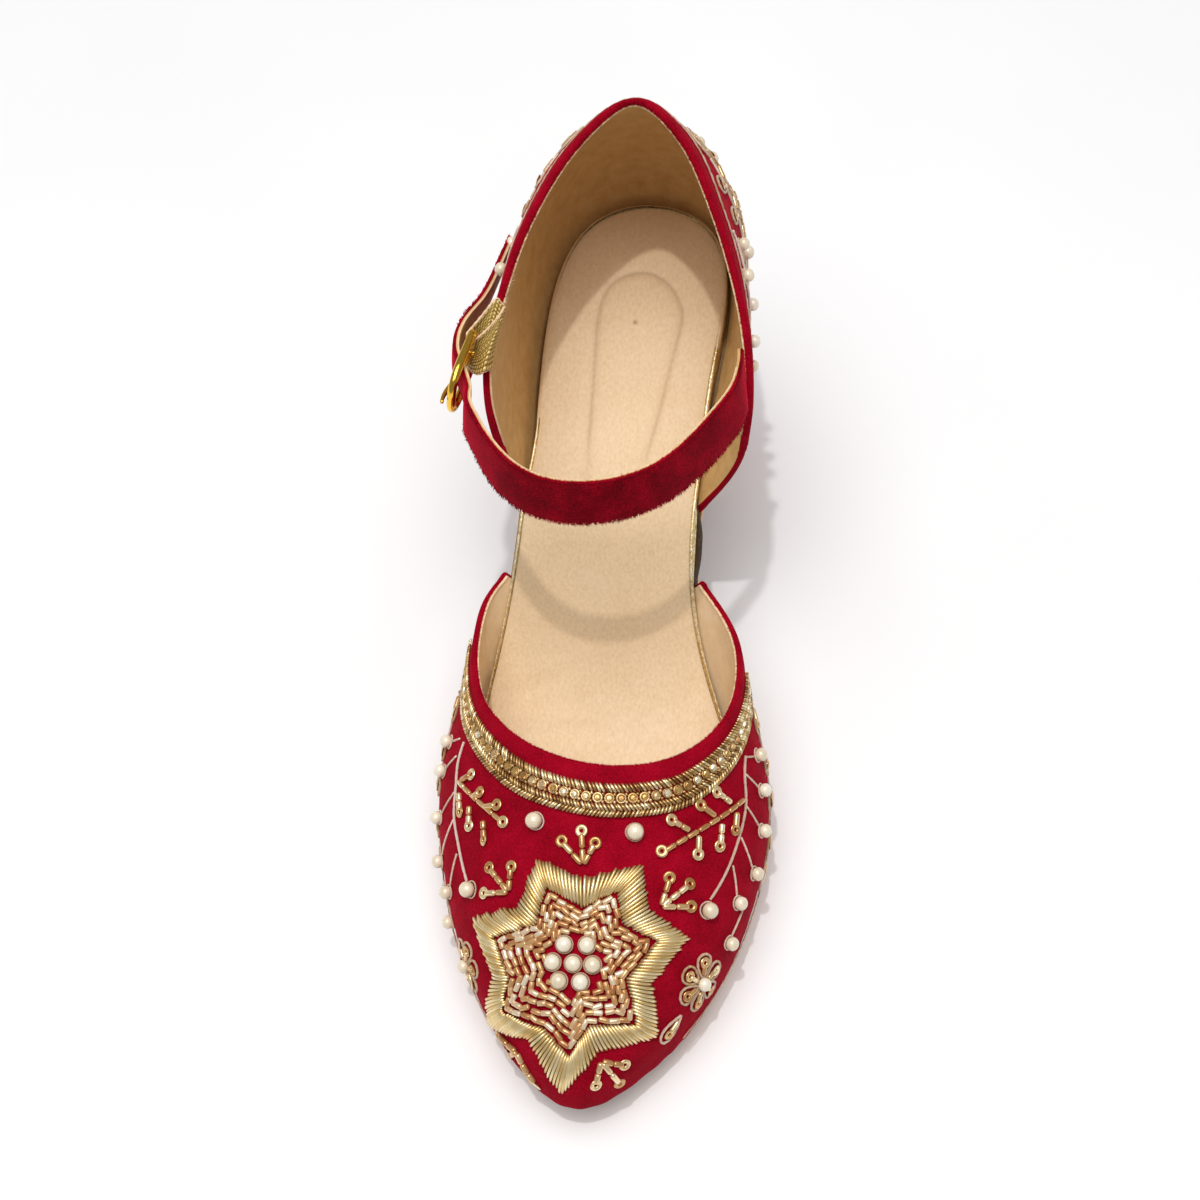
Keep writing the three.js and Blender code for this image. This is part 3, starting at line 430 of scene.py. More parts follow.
class Mat:
    """Principled surface with procedural colour variation and grain."""

    def __init__(self, name, rough=.5, metal=0.0, **sockets):
        self.mat = bpy.data.materials.new(name)
        self.mat.use_nodes = True
        self.nt = self.mat.node_tree
        self.b = self.nt.nodes["Principled BSDF"]
        self.b.inputs["Roughness"].default_value = rough
        self.b.inputs["Metallic"].default_value = metal
        for k, v in sockets.items():
            self.b.inputs[k.replace("_", " ")].default_value = v
        self.coord = self.nt.nodes.new("ShaderNodeTexCoord")

    def node(self, kind, **props):
        n = self.nt.nodes.new(kind)
        for k, v in props.items():
            setattr(n, k, v)
        return n

    def link(self, a, b):
        self.nt.links.new(a, b)

    def noise(self, scale, detail=3.0, rough=.55, stretch=None, uv=False):
        n = self.node("ShaderNodeTexNoise")
        n.inputs["Scale"].default_value = scale
        n.inputs["Detail"].default_value = detail
        n.inputs["Roughness"].default_value = rough
        src = self.coord.outputs["UV" if uv else "Object"]
        if stretch:
            m = self.node("ShaderNodeMapping")
            m.inputs["Scale"].default_value = stretch
            self.link(src, m.inputs["Vector"])
            src = m.outputs["Vector"]
        self.link(src, n.inputs["Vector"])
        return n.outputs["Fac"]

    def wave(self, scale, uv=True, direction="X", distort=2.0, dscale=3.0):
        n = self.node("ShaderNodeTexWave", wave_type="BANDS", bands_direction=direction)
        n.inputs["Scale"].default_value = scale
        n.inputs["Distortion"].default_value = distort
        n.inputs["Detail"].default_value = 2.0
        n.inputs["Detail Scale"].default_value = dscale
        self.link(self.coord.outputs["UV" if uv else "Object"], n.inputs["Vector"])
        return n.outputs["Fac"]

    def tone(self):
        n = self.node("ShaderNodeAttribute", attribute_name="tone")
        return n.outputs["Fac"]

    def ramp(self, fac, stops):
        n = self.node("ShaderNodeValToRGB")
        e = n.color_ramp.elements
        while len(e) < len(stops):
            e.new(.5)
        for k, (p, c) in zip(e, stops):
            k.position, k.color = p, c
        self.link(fac, n.inputs["Fac"])
        return n.outputs["Color"]

    def maths(self, op, a, b):
        n = self.node("ShaderNodeMath", operation=op)
        for s, v in zip(n.inputs, (a, b)):
            if isinstance(v, (int, float)):
                s.default_value = v
            else:
                self.link(v, s)
        return n.outputs[0]

    def mix(self, fac, a, b, blend="MIX"):
        n = self.node("ShaderNodeMix", data_type="RGBA", blend_type=blend)
        for s, v in ((n.inputs[0], fac), (n.inputs[6], a), (n.inputs[7], b)):
            if isinstance(v, (int, float, tuple)):
                s.default_value = v
            else:
                self.link(v, s)
        return n.outputs[2]

    def colour(self, out):
        self.link(out, self.b.inputs["Base Color"])

    def roughness(self, fac, lo, hi):
        n = self.node("ShaderNodeMapRange")
        n.inputs["To Min"].default_value, n.inputs["To Max"].default_value = lo, hi
        self.link(fac, n.inputs["Value"])
        self.link(n.outputs["Result"], self.b.inputs["Roughness"])

    def bump(self, layers):
        """layers: (height, strength, distance in metres), fine ones last."""
        last = None
        for h, strength, dist in layers:
            n = self.node("ShaderNodeBump")
            n.inputs["Strength"].default_value = strength
            n.inputs["Distance"].default_value = dist
            self.link(h, n.inputs["Height"])
            if last is not None:
                self.link(last, n.inputs["Normal"])
            last = n.outputs["Normal"]
        self.link(last, self.b.inputs["Normal"])


def make_velvet(name, dark, mid, light, ribs=True, sheen=.24):
    m = Mat(name, rough=.9, Sheen_Weight=sheen, Sheen_Roughness=.40, Sheen_Tint=(1.0, .015, .06, 1.0), Specular_IOR_Level=.08)
    cloud, fine = m.noise(130, 2), m.noise(2100, 2, .6)
    tone = m.maths("ADD", m.maths("MULTIPLY", cloud, .42), m.maths("MULTIPLY", fine, .58))
    c = m.ramp(tone, [(.35, dark), (.50, mid), (.65, light)])
    layers = [(fine, .50, .0003)]
    if ribs:
        weave = m.wave(46, True, "Y", 1.6, 5.0)
        c = m.mix(m.maths("MULTIPLY", weave, .26), c, dark)
        layers.insert(0, (weave, .14, .0003))
    m.colour(c)
    m.bump(layers)
    return m.mat


def make_plain(name, stops, rough, scale=300, bump=(.2, .0003), fine=1800, metal=0.0, stretch=None, **sockets):
    m = Mat(name, rough=rough, metal=metal, **sockets)
    big, small = m.noise(scale, 4, .55, stretch), m.noise(fine, 3, .6, stretch)
    tone = m.maths("ADD", m.maths("MULTIPLY", big, .6), m.maths("MULTIPLY", small, .4))
    m.colour(m.ramp(tone, stops))
    m.bump([(big, bump[0] * .5, bump[1] * 2), (small, bump[0], bump[1])])
    return m.mat


def make_gold(name, dark, mid, light, rough, metal=1.0, coil=None, **sockets):
    m = Mat(name, rough=rough, metal=metal, **sockets)
    tone = m.maths("ADD", m.maths("MULTIPLY", m.tone(), .75), m.maths("MULTIPLY", m.noise(700, 2), .25))
    m.colour(m.ramp(tone, [(.12, dark), (.48, mid), (.85, light)]))
    layers = [(m.noise(2600, 2), .12, .0001)]
    if coil:
        layers.insert(0, (m.wave(coil, True, "X", 0.0, 1.0), .55, .00012))
    m.bump(layers)
    return m.mat


VELVET = make_velvet("velvet_crimson", srgb(122, 0, 18), srgb(154, 0, 28), srgb(176, 6, 38))
# darker copy of the crimson velvet for the strap: painted shade for the pile face seen head-on
VELVET_STRAP_PAINTED_SHADE = make_velvet("velvet_strap_painted_shade", srgb(76, 0, 7), srgb(114, 0, 16), srgb(154, 2, 28), False, .75)
# lighter copy of the crimson velvet for the pile hairs at the edges: painted sheen of pile seen at a grazing angle
PILE_PAINTED_SHEEN = make_velvet("velvet_pile_painted_sheen", srgb(128, 0, 18), srgb(164, 2, 32), srgb(190, 14, 46), False, .5)
LINING = make_plain("lining_beige", [(.30, srgb(196, 153, 92)), (.52, srgb(212, 172, 111)), (.72, srgb(222, 186, 128))], .62,
                    260, (.10, .0002), 1700)
LINING_PALE = make_plain("lining_pale", [(.30, srgb(236, 202, 158)), (.52, srgb(246, 216, 174)), (.72, srgb(251, 226, 190))], .62,
                         260, (.10, .0002), 1700)
SOLE_TOP = make_plain("sole_top", [(.30, srgb(112, 84, 44)), (.52, srgb(138, 106, 60)), (.72, srgb(158, 124, 76))], .6, 300)
PIPING = make_plain("piping_cream", [(.30, srgb(214, 170, 128)), (.52, srgb(240, 206, 165)), (.75, srgb(252, 228, 198))], .7, 500)
OCHRE = make_plain("sole_edge_ochre", [(.30, srgb(226, 142, 28)), (.52, srgb(243, 164, 44)), (.72, srgb(250, 184, 72))], .48,
                   180, (.2, .0003), 1200, 0.0, (1, 1, 4))
TREAD = make_plain("sole_brown", [(.30, srgb(112, 72, 30)), (.52, srgb(146, 100, 48)), (.72, srgb(166, 120, 66))], .55, 140, (.25, .0004))
LIFT = make_plain("toplift_tan", [(.30, srgb(206, 160, 100)), (.52, srgb(228, 184, 122)), (.72, srgb(240, 204, 150))], .6, 240, (.25, .0004))
CHAMPAGNE = make_plain("edge_champagne", [(.32, srgb(158, 126, 66)), (.50, srgb(212, 184, 122)), (.66, srgb(246, 230, 186))], .32,
                       900, (.5, .0002), 2600, .8)
# dark brown for the lower medial wall of the insole at the waist: painted shade on a wall that is champagne like the
# rest of the edge
INSOLE_WALL_PAINTED_SHADE = make_plain("insole_wall_painted_shade", [(.32, srgb(40, 27, 9)), (.50, srgb(62, 43, 17)), (.66, srgb(88, 65, 30))], .62, 900, (.3, .0002), 2600, 0.0,
                        None, Specular_IOR_Level=.2)
EDGE_GOLD = make_plain("edge_gold", [(.34, srgb(190, 158, 100)), (.50, srgb(234, 212, 162)), (.64, srgb(255, 250, 232))], .26, 1100, (.5, .0002), 2600, .5)
STITCH = make_plain("stitch_red", [(.3, srgb(100, 0, 12)), (.6, srgb(126, 2, 20))], .8, 600)
STEEL_GOLD = make_gold("buckle_gilt", srgb(214, 156, 40), srgb(246, 196, 72), srgb(255, 216, 104), .14)
BULLION = make_gold("zari_bullion", srgb(98, 62, 20), srgb(226, 192, 126), srgb(255, 242, 202), .33, .72)
BUGLE = make_gold("bugle_bead", srgb(186, 126, 76), srgb(222, 176, 118), srgb(252, 230, 186), .24, .6, None, Coat_Weight=.4, Coat_Roughness=.08)
STARBEAD = make_gold("star_bead", srgb(182, 118, 64), srgb(218, 170, 114), srgb(252, 236, 208), .2, .4, None, Coat_Weight=.6, Coat_Roughness=.08)
SEQUIN = make_gold("sequin_gold", srgb(178, 122, 62), srgb(216, 172, 108), srgb(250, 230, 184), .26, .62, None, Coat_Weight=.3, Coat_Roughness=.1)
THREAD = make_gold("zari_thread", srgb(186, 144, 86), srgb(240, 210, 188), srgb(255, 242, 232), .36, .25, 300)
BRAID = make_gold("braid_rope", srgb(122, 80, 38), srgb(206, 168, 108), srgb(252, 236, 192), .30, .72)
STONE = make_gold("braid_stone", srgb(160, 108, 50), srgb(210, 166, 92), srgb(255, 244, 212), .16, .6, None, Coat_Weight=.6, Coat_Roughness=.05)


def make_footbed():
    m = Mat("footbed_beige", rough=.58, Sheen_Weight=.06)
    fibre, cloud = m.noise(1300, 3, .65, (1, .55, 1)), m.noise(30, 3)
    tone = m.maths("ADD", m.maths("MULTIPLY", fibre, .62), m.maths("MULTIPLY", cloud, .38))
    c = m.ramp(tone, [(.30, srgb(217, 185, 143)), (.50, srgb(229, 200, 159)), (.70, srgb(238, 213, 179))])
    # the tone attribute mixes in a darker brown: painted shade in the groove line and the tack hole, plus a faint line
    # across the footbed
    m.colour(m.mix(m.tone(), c, srgb(150, 104, 62)))
    m.bump([(fibre, .14, .00025)])
    return m.mat


def make_pearl():
    m = Mat("pearl_cream", rough=.25, Coat_Weight=.9, Coat_Roughness=.16, Specular_IOR_Level=.7)
    tone = m.maths("ADD", m.maths("MULTIPLY", m.tone(), .6), m.maths("MULTIPLY", m.noise(420, 2), .4))
    m.colour(m.ramp(tone, [(.25, srgb(214, 192, 158)), (.5, srgb(240, 226, 198)), (.75, srgb(252, 246, 230))]))
    m.bump([(m.noise(900, 2), .05, .0002)])
    return m.mat


def make_elastic():
    m = Mat("elastic_gold", rough=.5, metal=.1)
    weave = m.maths("MULTIPLY", m.wave(3.3, True, "X", .2, 2.0), m.wave(4.2, True, "Y", .2, 2.0))
    c = m.ramp(weave, [(.02, srgb(134, 100, 38)), (.22, srgb(206, 170, 84)), (.7, srgb(250, 226, 146))])
    m.colour(c)
    m.bump([(weave, .6, .0004)])
    return m.mat


PEARL = make_pearl()
FOOTBED = make_footbed()
ELASTIC = make_elastic()


# ------------------------------------------------------------------ upper bodies
def upper_body(name, shell, nd, nt, roll=1.0, swell=.5, lining=LINING):
    d = np.linspace(shell.lo, shell.hi, nd + 1)
    t_end = shell.down(d, roll)
    k = np.linspace(0, 1, nt + 1)
    D = np.repeat(d[:, None], nt + 1, 1)
    T = t_end[:, None] * k[None]
    P, N = shell.at(D, T)
    inner = P - N * WALL
    inner[:, 0, 2] = feather_at(inner[:, 0, 1]) + FOOT_GAP
    # lasting pulls near the feather, a soft roll beside the top edge, slow waves of the cloth
    below = np.linalg.norm(P - P[:, -1:], axis=-1)
    above = np.linalg.norm(P - P[:, :1], axis=-1)
    pulls = .16 * np.exp(-above / 3.0) * np.sin(D * .95 + 1.3 * np.sin(D * .21)) * (above > .2) + swell * np.exp(-((above - 2.2) / 2.6) ** 2)
    edge_roll = .28 * np.exp(-((below - 2.4) / 1.8) ** 2) - .22 * np.exp(-((below - 5.2) / .9) ** 2)
    waves = .10 * np.sin(D * .19 + 2.0) * np.sin(above * .16 + .04 * D)
    outer = P + N * (pulls + edge_roll + waves)[..., None]
    a = (outer[:, -1] - inner[:, -1]) / 2
    c = (outer[:, -1] + inner[:, -1]) / 2
    up = unit(shell.point(d, np.minimum(1, t_end + .01)) - shell.point(d, t_end - .01))
    turn = np.pi * np.arange(1, 8) / 8
    crown = c[:, None] + a[:, None] * np.cos(turn)[None, :, None] + roll * up[:, None] * np.sin(turn)[None, :, None]
    ring = np.concatenate([outer, crown, inner[:, ::-1]], 1)
    m = ring.shape[1]
    run = np.concatenate([np.zeros((nd + 1, 1)), np.cumsum(np.linalg.norm(np.diff(ring, axis=1), axis=-1), 1)], 1)
    uv = np.stack([np.repeat(d[:, None], m, 1) / 100, run / 100], -1)
    f = strip_faces(nd + 1, m)
    if shell.facing < 0:
        f = f[:, ::-1]
    slot = np.where(np.tile(np.arange(m), nd) < nt + 6, 0, 1)
    slot = np.where(np.tile(np.arange(m), nd) == m - 1, 0, slot)
    s = Soup()
    s.add(ring, f, .5, uv, slot)
    for row, flip in ((0, shell.facing < 0), (nd, shell.facing > 0)):
        o = row * m
        j = np.arange(nt)
        cap = np.c_[o + j, o + j + 1, o + m - 2 - j, o + m - 1 - j]
        s.f.append(cap[:, ::-1] if not flip else cap)
        s.mat.append(np.zeros(nt, int))
    # rounded free ends of the part, front edges of the opening
    for row in (0, nd):
        mid = (outer[row] + inner[row]) / 2
        n = N[row]
        put_tube(s, mid[1:], np.full(nt, WALL / 2), n[1:], 10, mat=0)
        put_ball(s, mid[-1] + up[row] * .1, unit(n[-1]), WALL / 2 + .04, 1.0)
    ob = s.build(name, [VELVET, lining], sharp=50)
    info = dict(d=d, inner=inner[:, -1], crown=crown, up=up, out=unit(a), top=c + roll * up)
    return ob, info


vamp_body, vamp_edge = upper_body("vamp_body", vamp, 300, 60, 1.0, .9, LINING_PALE)
counter_body, counter_edge = upper_body("counter_body", counter, 260, 54)

pipe = Soup()
for info in (vamp_edge, counter_edge):
    p = info["inner"] + info["up"] * .22 + info["out"] * .06
    put_tube(pipe, p, .27 * (1 + .18 * np.sin(info["d"] * 2.1) * np.sin(info["d"] * .37)), info["up"], 7, tone=.5)
topline_piping = pipe.build("topline_piping", PIPING)

pile = Soup()
for info, count in ((vamp_edge, 3600), (counter_edge, 3800)):
    d = np.sort(rng.uniform(info["d"][0], info["d"][-1], count))
    pick = lambda q: np.stack([np.interp(d, info["d"], q[:, k]) for k in range(3)], -1)
    row = rng.integers(2, 6, count)
    base = np.stack([pick(info["crown"][:, r]) for r in range(7)], 1)[np.arange(count), row]
    mid = pick(info["top"]) - pick(info["up"])
    put_spikes(pile, base - unit(base - mid) * .15, unit(base - mid) + rng.normal(0, .35, (count, 3)), rng.uniform(.35, .75, count), .10, .5)
# topline hairs in the lighter copy of the velvet, painted sheen
topline_pile = pile.build("topline_pile", PILE_PAINTED_SHEEN)

# ------------------------------------------------------------------ insole
GROOVE = [(-10.4, 159.8), (-10.5, 170.2), (-10.4, 179.4), (-10.5, 195.2), (-10.2, 206.3), (-7.5, 214.0), (-1.8, 217.4),
          (4.1, 217.4), (9.5, 213.5), (12.8, 207.0), (11.9, 198.7), (9.2, 184.1), (7.3, 174.7), (5.3, 166.2)]
# soft wrinkles of the cover: side, station, length across, depth, slant
WRINKLES = [(-24, 112, 15, .20, .35), (-16, 101, 18, .16, .10), (20, 96, 18, .18, -.20), (2, 92, 30, .12, .02), (-8, 124, 14, .10, .5)]


def at_waist(s):
    return smooth(s, 139.4, 143) * (1 - smooth(s, 149.5, 154.2))


def insole_inset(side, s, share):
    """Inset of the wrapped edge: share 0 at the foot of the wall to 1 at its top."""
    w = at_waist(s)
    a, b = (150, 176) if side < 0 else (160, 196)
    wide = smooth(s, 96, 128) * (1 - smooth(s, a, b))
    top = INSOLE_INSET + (.15 if side < 0 else .35) - (1.9 if side < 0 else 2.1) * wide
    flare = smooth(s, 134, 147) * (1 - smooth(s, 150, 161))
    foot = np.minimum(top, INSOLE_INSET) - (.5 * w if side < 0 else 2.4 * flare)
    return foot + (top - foot) * share


def close_ends(s, ends, mats):
    """Short faces that join the two sides of a rim at toe and heel."""
    for e, out in ((0, -1.0), (-1, 1.0)):
        g = np.stack([ends[-1][e], ends[1][e]], 0)
        fc = strip_faces(2, g.shape[1], False)
        flat = g.reshape(-1, 3)
        turn = sum(np.cross(flat[q[1]] - flat[q[0]], flat[q[2]] - flat[q[0]])[1] for q in fc)
        s.add(g, fc if turn * out > 0 else fc[:, ::-1], .0, None, mats)


def build_insole():
    f = np.linspace(0, np.pi, 521)[1:-1]
    st = station_of(f)
    thick = insole_thick(st) / INSOLE_T
    base = feather_at(st)
    s = Soup()
    # share of the wall, extra inset, height: wall, dark groove under the cover, rolled top edge
    prof = [(0, .1, .4), (.10, -.05, 1.0), (.30, -.1, 2.2), (.52, -.1, 3.4), (.66, 0, 4.1), (.70, .34, 4.3), (.74, 0, 4.5), (.86, -.02, 5.0), (.96, .08, 5.6), (1, .45, 6.08), (1, 1.05, 6.36)]
    nu = 100
    u = np.linspace(-1, 1, nu + 1)
    lat = [rim(-1, f, insole_inset(-1, st, k) + i)[:2] for k, i, _ in prof]
    med = [rim(1, f, insole_inset(1, st, k) + i)[:2] for k, i, _ in prof]
    hts = [base + h * thick for _, _, h in prof]
    ends = {}
    for pts, sign in ((lat, -1), (med, 1)):
        grid = np.stack([np.stack([x, y, h], -1) for (x, y), h in zip(pts, hts)], 1)
        fc = strip_faces(len(f), len(prof), False)
        uv = np.stack(np.broadcast_arrays(st[:, None] / 100, np.array([h for _, _, h in prof])[None] / 100), -1)
        row = np.tile(np.arange(len(prof) - 1), len(f) - 1)
        ends[sign] = grid
        at = np.repeat(st[:-1], len(prof) - 1)
        # slot 2: painted shade on the lower medial wall in front of station 158; slot 0: footbed colour on the top
        # rows at the heel
        mats = np.where((row < 6) & (sign > 0) & (at < 158), 2, np.where((row > 5) & (at > (176 if sign < 0 else 197)), 0, 1))
        s.add(grid, fc if sign > 0 else fc[:, ::-1], .0, uv, mats)
    close_ends(s, ends, np.ones(len(prof) - 1, int))
    lx, ly = lat[-1]
    mx, my = med[-1]
    k = (u[None] + 1) / 2
    X = lx[:, None] * (1 - k) + mx[:, None] * k
    Y = ly[:, None] * (1 - k) + my[:, None] * k
    H = feather_at(Y) + insole_thick(Y) * (6.36 / INSOLE_T)
    edge = np.minimum(1, (1 - np.abs(u))[None] * half_at(f)[:, None] / 3.0)
    H = H + .32 * (1 - (1 - edge) ** 2)
    gx = spline(np.arange(len(GROOVE)), [q[0] for q in GROOVE])(np.linspace(0, len(GROOVE) - 1, 260))
    gy = spline(np.arange(len(GROOVE)), [q[1] for q in GROOVE])(np.linspace(0, len(GROOVE) - 1, 260))
    near = np.full(X.shape, 1e9)
    for a, b in zip(gx, gy):
        near = np.minimum(near, (X - a) ** 2 + (Y - b) ** 2)
    line = np.exp(-near / (2 * .42 ** 2)) * (1 - .75 * smooth(-Y, -176, -160))
    H = H - .42 * np.exp(-near / (2 * .7 ** 2)) - .18 * (1 - smooth(np.sqrt(near), .5, 5)) * smooth(near, 0, .4)
    hole = np.exp(-((X - 0) ** 2 + (Y - 203.7) ** 2) / (2 * .38 ** 2))
    for x0, s0, ln, dep, slant in WRINKLES:
        along, across = X - x0, (Y - s0) - slant * (X - x0)
        H = H - dep * np.exp(-(across / 2.2) ** 2 - (along / ln) ** 2) + .6 * dep * np.exp(-((across - 4) / 2.4) ** 2 - (along / ln) ** 2)
    # painted shade: darker brown along the groove line and in the tack hole, and a faint dark line across the footbed
    # at station 86.5
    shade = np.clip(.42 * line + .9 * hole + .05 * np.exp(-((Y - 86.5 - .02 * X) / .8) ** 2), 0, 1)
    s.add(np.stack([X, Y, H - .4 * hole], -1), strip_faces(len(f), nu + 1, False)[:, ::-1], shade.ravel(), np.stack([X / 100, Y / 100], -1), 0)
    bottom = np.stack([np.stack([lat[0][0], lat[0][1], hts[0]], -1), np.stack([med[0][0], med[0][1], hts[0]], -1)], 1)
    s.add(bottom, strip_faces(len(f), 2, False), .0, None, 1)
    return s.build("insole_pad", [FOOTBED, CHAMPAGNE, INSOLE_WALL_PAINTED_SHADE], sharp=60)


insole_pad = build_insole()
edge = Soup()
f = np.linspace(.014, np.pi - .014, 900)
for side in (-1, 1):
    sf = station_of(f)
    x, y, nx, ny = rim(side, f, insole_inset(side, sf, 1) + .42)
    p = np.stack([x, y, feather_at(y) + insole_thick(y) * 6.02 / INSOLE_T], -1)
    run = np.r_[0, np.cumsum(np.linalg.norm(np.diff(p, axis=0), axis=1))]
    seen = 1 - smooth(sf, *((164, 184) if side < 0 else (186, 204)))
    keep = seen > .02
    put_tube(edge, p[keep], ((.44 if side < 0 else .60) * seen * (1 + .05 * np.sin(run * 2 * np.pi / 2.3)))[keep], np.array([0, 0, 1.0]), 8, tone=.5)
insole_piping = edge.build("insole_piping", EDGE_GOLD)

# ------------------------------------------------------------------ outsole, heel, top lift
def build_outsole():
    f = np.linspace(0, np.pi, 361)[1:-1]
    s = Soup()
    prof = [(.8, 0.0, 0), (.28, .22, 0), (0.0, .7, 0), (-.05, .5, .5), (0, -.4, 1), (.12, -.12, 1), (.4, 0.0, 1), (4.6, 0.0, 1)]
    side_pts, ends = {}, {}
    for side in (-1, 1):
        rows = []
        for inset, h, share in prof:
            s0 = station_of(f)
            tuck = 1.0 * (1 - smooth(s0, 60, 120)) + .9 * (1 - smooth(s0, 8, 55)) + .35 * smooth(s0, 120, 140)
            x, y, _, _ = rim(side, f, inset + tuck)
            lo, hi = sole_bottom(y), feather_at(y)
            rows.append(np.stack([x, y, lo + (hi - lo) * share + h * (1 if share != .5 else 0)], -1))
        grid = np.stack(rows, 1)
        fc = strip_faces(len(f), len(prof), False)
        row = np.tile(np.arange(len(prof) - 1), len(f) - 1)
        mats = np.where(row < 1, 1, np.where(row > 4, 2, 0))
        uv = np.stack(np.broadcast_arrays(station_of(f)[:, None] / 100, np.arange(len(prof))[None] / 100), -1)
        s.add(grid, fc if side > 0 else fc[:, ::-1], .5, uv, mats)
        side_pts[side] = (rows[0], rows[-1])
        ends[side] = grid
    row = np.arange(len(prof) - 1)
    close_ends(s, ends, np.where(row < 1, 1, np.where(row > 4, 2, 0)))
    nu = 90
    k = np.linspace(0, 1, nu + 1)[None, :, None]
    under = side_pts[-1][0][:, None] * (1 - k) + side_pts[1][0][:, None] * k
    X, Y = under[..., 0], under[..., 1]
    # zigzag channels of the tread inside a plain border, a bare patch behind the ball
    border = np.minimum(np.abs(k[..., 0] - 0), np.abs(1 - k[..., 0])) * 2 * half_at(f)[:, None]
    zig = np.abs(((X + 200) / 9.0) % 2 - 1) * 7.0
    phase = ((Y + zig) / 7.0) % 1.0
    groove = smooth(phase, .0, .12) * (1 - smooth(phase, .42, .54))
    inside = smooth(border, 3.6, 5.0) * smooth(Y, 8, 11) * (1 - smooth(Y, 97, 99))
    line = np.exp(-((Y - 111.5) / .8) ** 2) * smooth(border, 2.0, 3.0)
    under[..., 2] = sole_bottom(Y) + .9 * groove * inside + .7 * line
    s.add(under, strip_faces(len(f), nu + 1, False), .5, np.stack([X / 100, Y / 100], -1), 1)
    top = np.stack([side_pts[-1][1], side_pts[1][1]], 1)
    s.add(top, strip_faces(len(f), 2, False)[:, ::-1], .5, None, 2)
    return s.build("outsole_body", [OCHRE, TREAD, SOLE_TOP], sharp=40)


outsole_body = build_outsole()


def d_ring(fn, n=46):
    q = np.linspace(0, 1, n)
    left = fn(-1, q)
    right = fn(1, q[:-1])[::-1]
    ring = np.concatenate([left, right], 0)
    breast = ring[-1] + (ring[0] - ring[-1]) * np.linspace(0, 1, 26)[1:-1, None]
    return np.concatenate([ring, breast], 0)


def cap_fan(s, ring, flip, mat=0):
    c = ring.mean(0)
    m = len(ring)
    v = np.r_[ring, ring * .5 + c * .5, c[None]]
    k = np.arange(m)
    quad = np.c_[k, (k + 1) % m, m + (k + 1) % m, m + k]
    tri = np.c_[m + k, m + (k + 1) % m, np.full(m, 2 * m)]
    s.add(v, quad[:, ::-1] if flip else quad, .5, None, mat)
    s.f.append((tri[:, ::-1] if flip else tri) + s.n - len(v))
    s.mat.append(np.full(len(tri), mat))


def build_heel():
    s = Soup()
    levels = np.r_[0, .006, .02, np.linspace(.05, .97, 40), 1.0]
    rings = []
    for lv in levels:
        r = d_ring(lambda side, q: heel_point(side, q, lv))
        c = r[:, :2].mean(0)
        tuck = .5 * (1 - smooth(lv, 0, .03))
        r[:, :2] -= tuck * unit(r[:, :2] - c)
        rings.append(r)
    g = np.stack(rings)
    m = g.shape[1]
    # slow hollows of the cover
    run = np.concatenate([[0], np.cumsum(np.linalg.norm(np.diff(g[20], axis=0), axis=1))])
    n = unit(np.cross(np.roll(g, -1, 1) - np.roll(g, 1, 1), np.gradient(g, axis=0)))
    if (n[20, 10] * (g[20, 10] - g[20].mean(0))).sum() < 0:
        n = -n
    g = g + n * (.14 * np.sin(run * .21 + 1)[None] * np.sin(levels * 9)[:, None])[..., None]
    uv = np.stack(np.broadcast_arrays(run[None] / 100, (levels * 55)[:, None] / 100), -1)
    f = strip_faces(len(levels), m)
    s.add(g, f, .5, uv, 0)
    cap_fan(s, g[0], False)
    cap_fan(s, g[-1], True)
    ob = s.build("heel_cover", VELVET, sharp=55)
    return ob


def build_lift():
    s = Soup()
    rings = []
    for grow, h in ((-1.2, 0.0), (-.5, .02), (-.12, .22), (.08, .6), (.1, 1.4), (.1, 2.6), (.02, 2.75), (.1, 2.9), (.1, 4.2), (-.05, 4.62), (-.5, 4.7)):
        rings.append(d_ring(lambda side, q: np.stack([*heel_bottom(side, q, grow), np.full(len(np.atleast_1d(q)), h)], -1)))
    g = np.stack(rings)
    s.add(g, strip_faces(len(g), g.shape[1]), .5, None, 0)
    cap_fan(s, g[0], False)
    cap_fan(s, g[-1], True)
    return s.build("toplift_body", LIFT, sharp=50)


heel_cover = build_heel()
toplift_body = build_lift()

# ------------------------------------------------------------------ strap
turn = [math.radians(a) for a in (BUCKLE_REAR_INWARD, BUCKLE_REAR_DOWN, BUCKLE_TOP_INWARD)]
BUCKLE_ALONG = unit(np.array([math.sin(turn[0]), math.cos(turn[0]), -math.sin(turn[1])]))
BUCKLE_UP = np.array([math.sin(turn[2]), 0, math.cos(turn[2])])
BUCKLE_UP = unit(BUCKLE_UP - BUCKLE_ALONG * (BUCKLE_UP @ BUCKLE_ALONG))
BUCKLE_IN = np.cross(BUCKLE_ALONG, BUCKLE_UP)


def bk(along, up, out):
    along, up, out = (q[..., None] for q in np.broadcast_arrays(np.asarray(along, float), np.asarray(up, float), np.asarray(out, float)))
    return np.array([BUCKLE_X, BUCKLE_S, BUCKLE_H]) + along * BUCKLE_ALONG + up * BUCKLE_UP - out * BUCKLE_IN


stops = [(x, s, h, t, 0.0) for x, s, h, t in STRAP_FRONT]
stops += [(*bk(along, 0, out), BUCKLE_TOP_INWARD, k) for along, out, k in STRAP_THREAD]
stops += [(x, s, h, t, 0.0) for x, s, h, t in STRAP_TAIL]
stops = np.array(stops, float)
strap_run = np.r_[0, np.cumsum(np.linalg.norm(np.diff(stops[:, :3], axis=0), axis=1))]
strap_fn = [spline(strap_run, stops[:, k]) for k in range(5)]
STRAP_LEN = strap_run[-1]


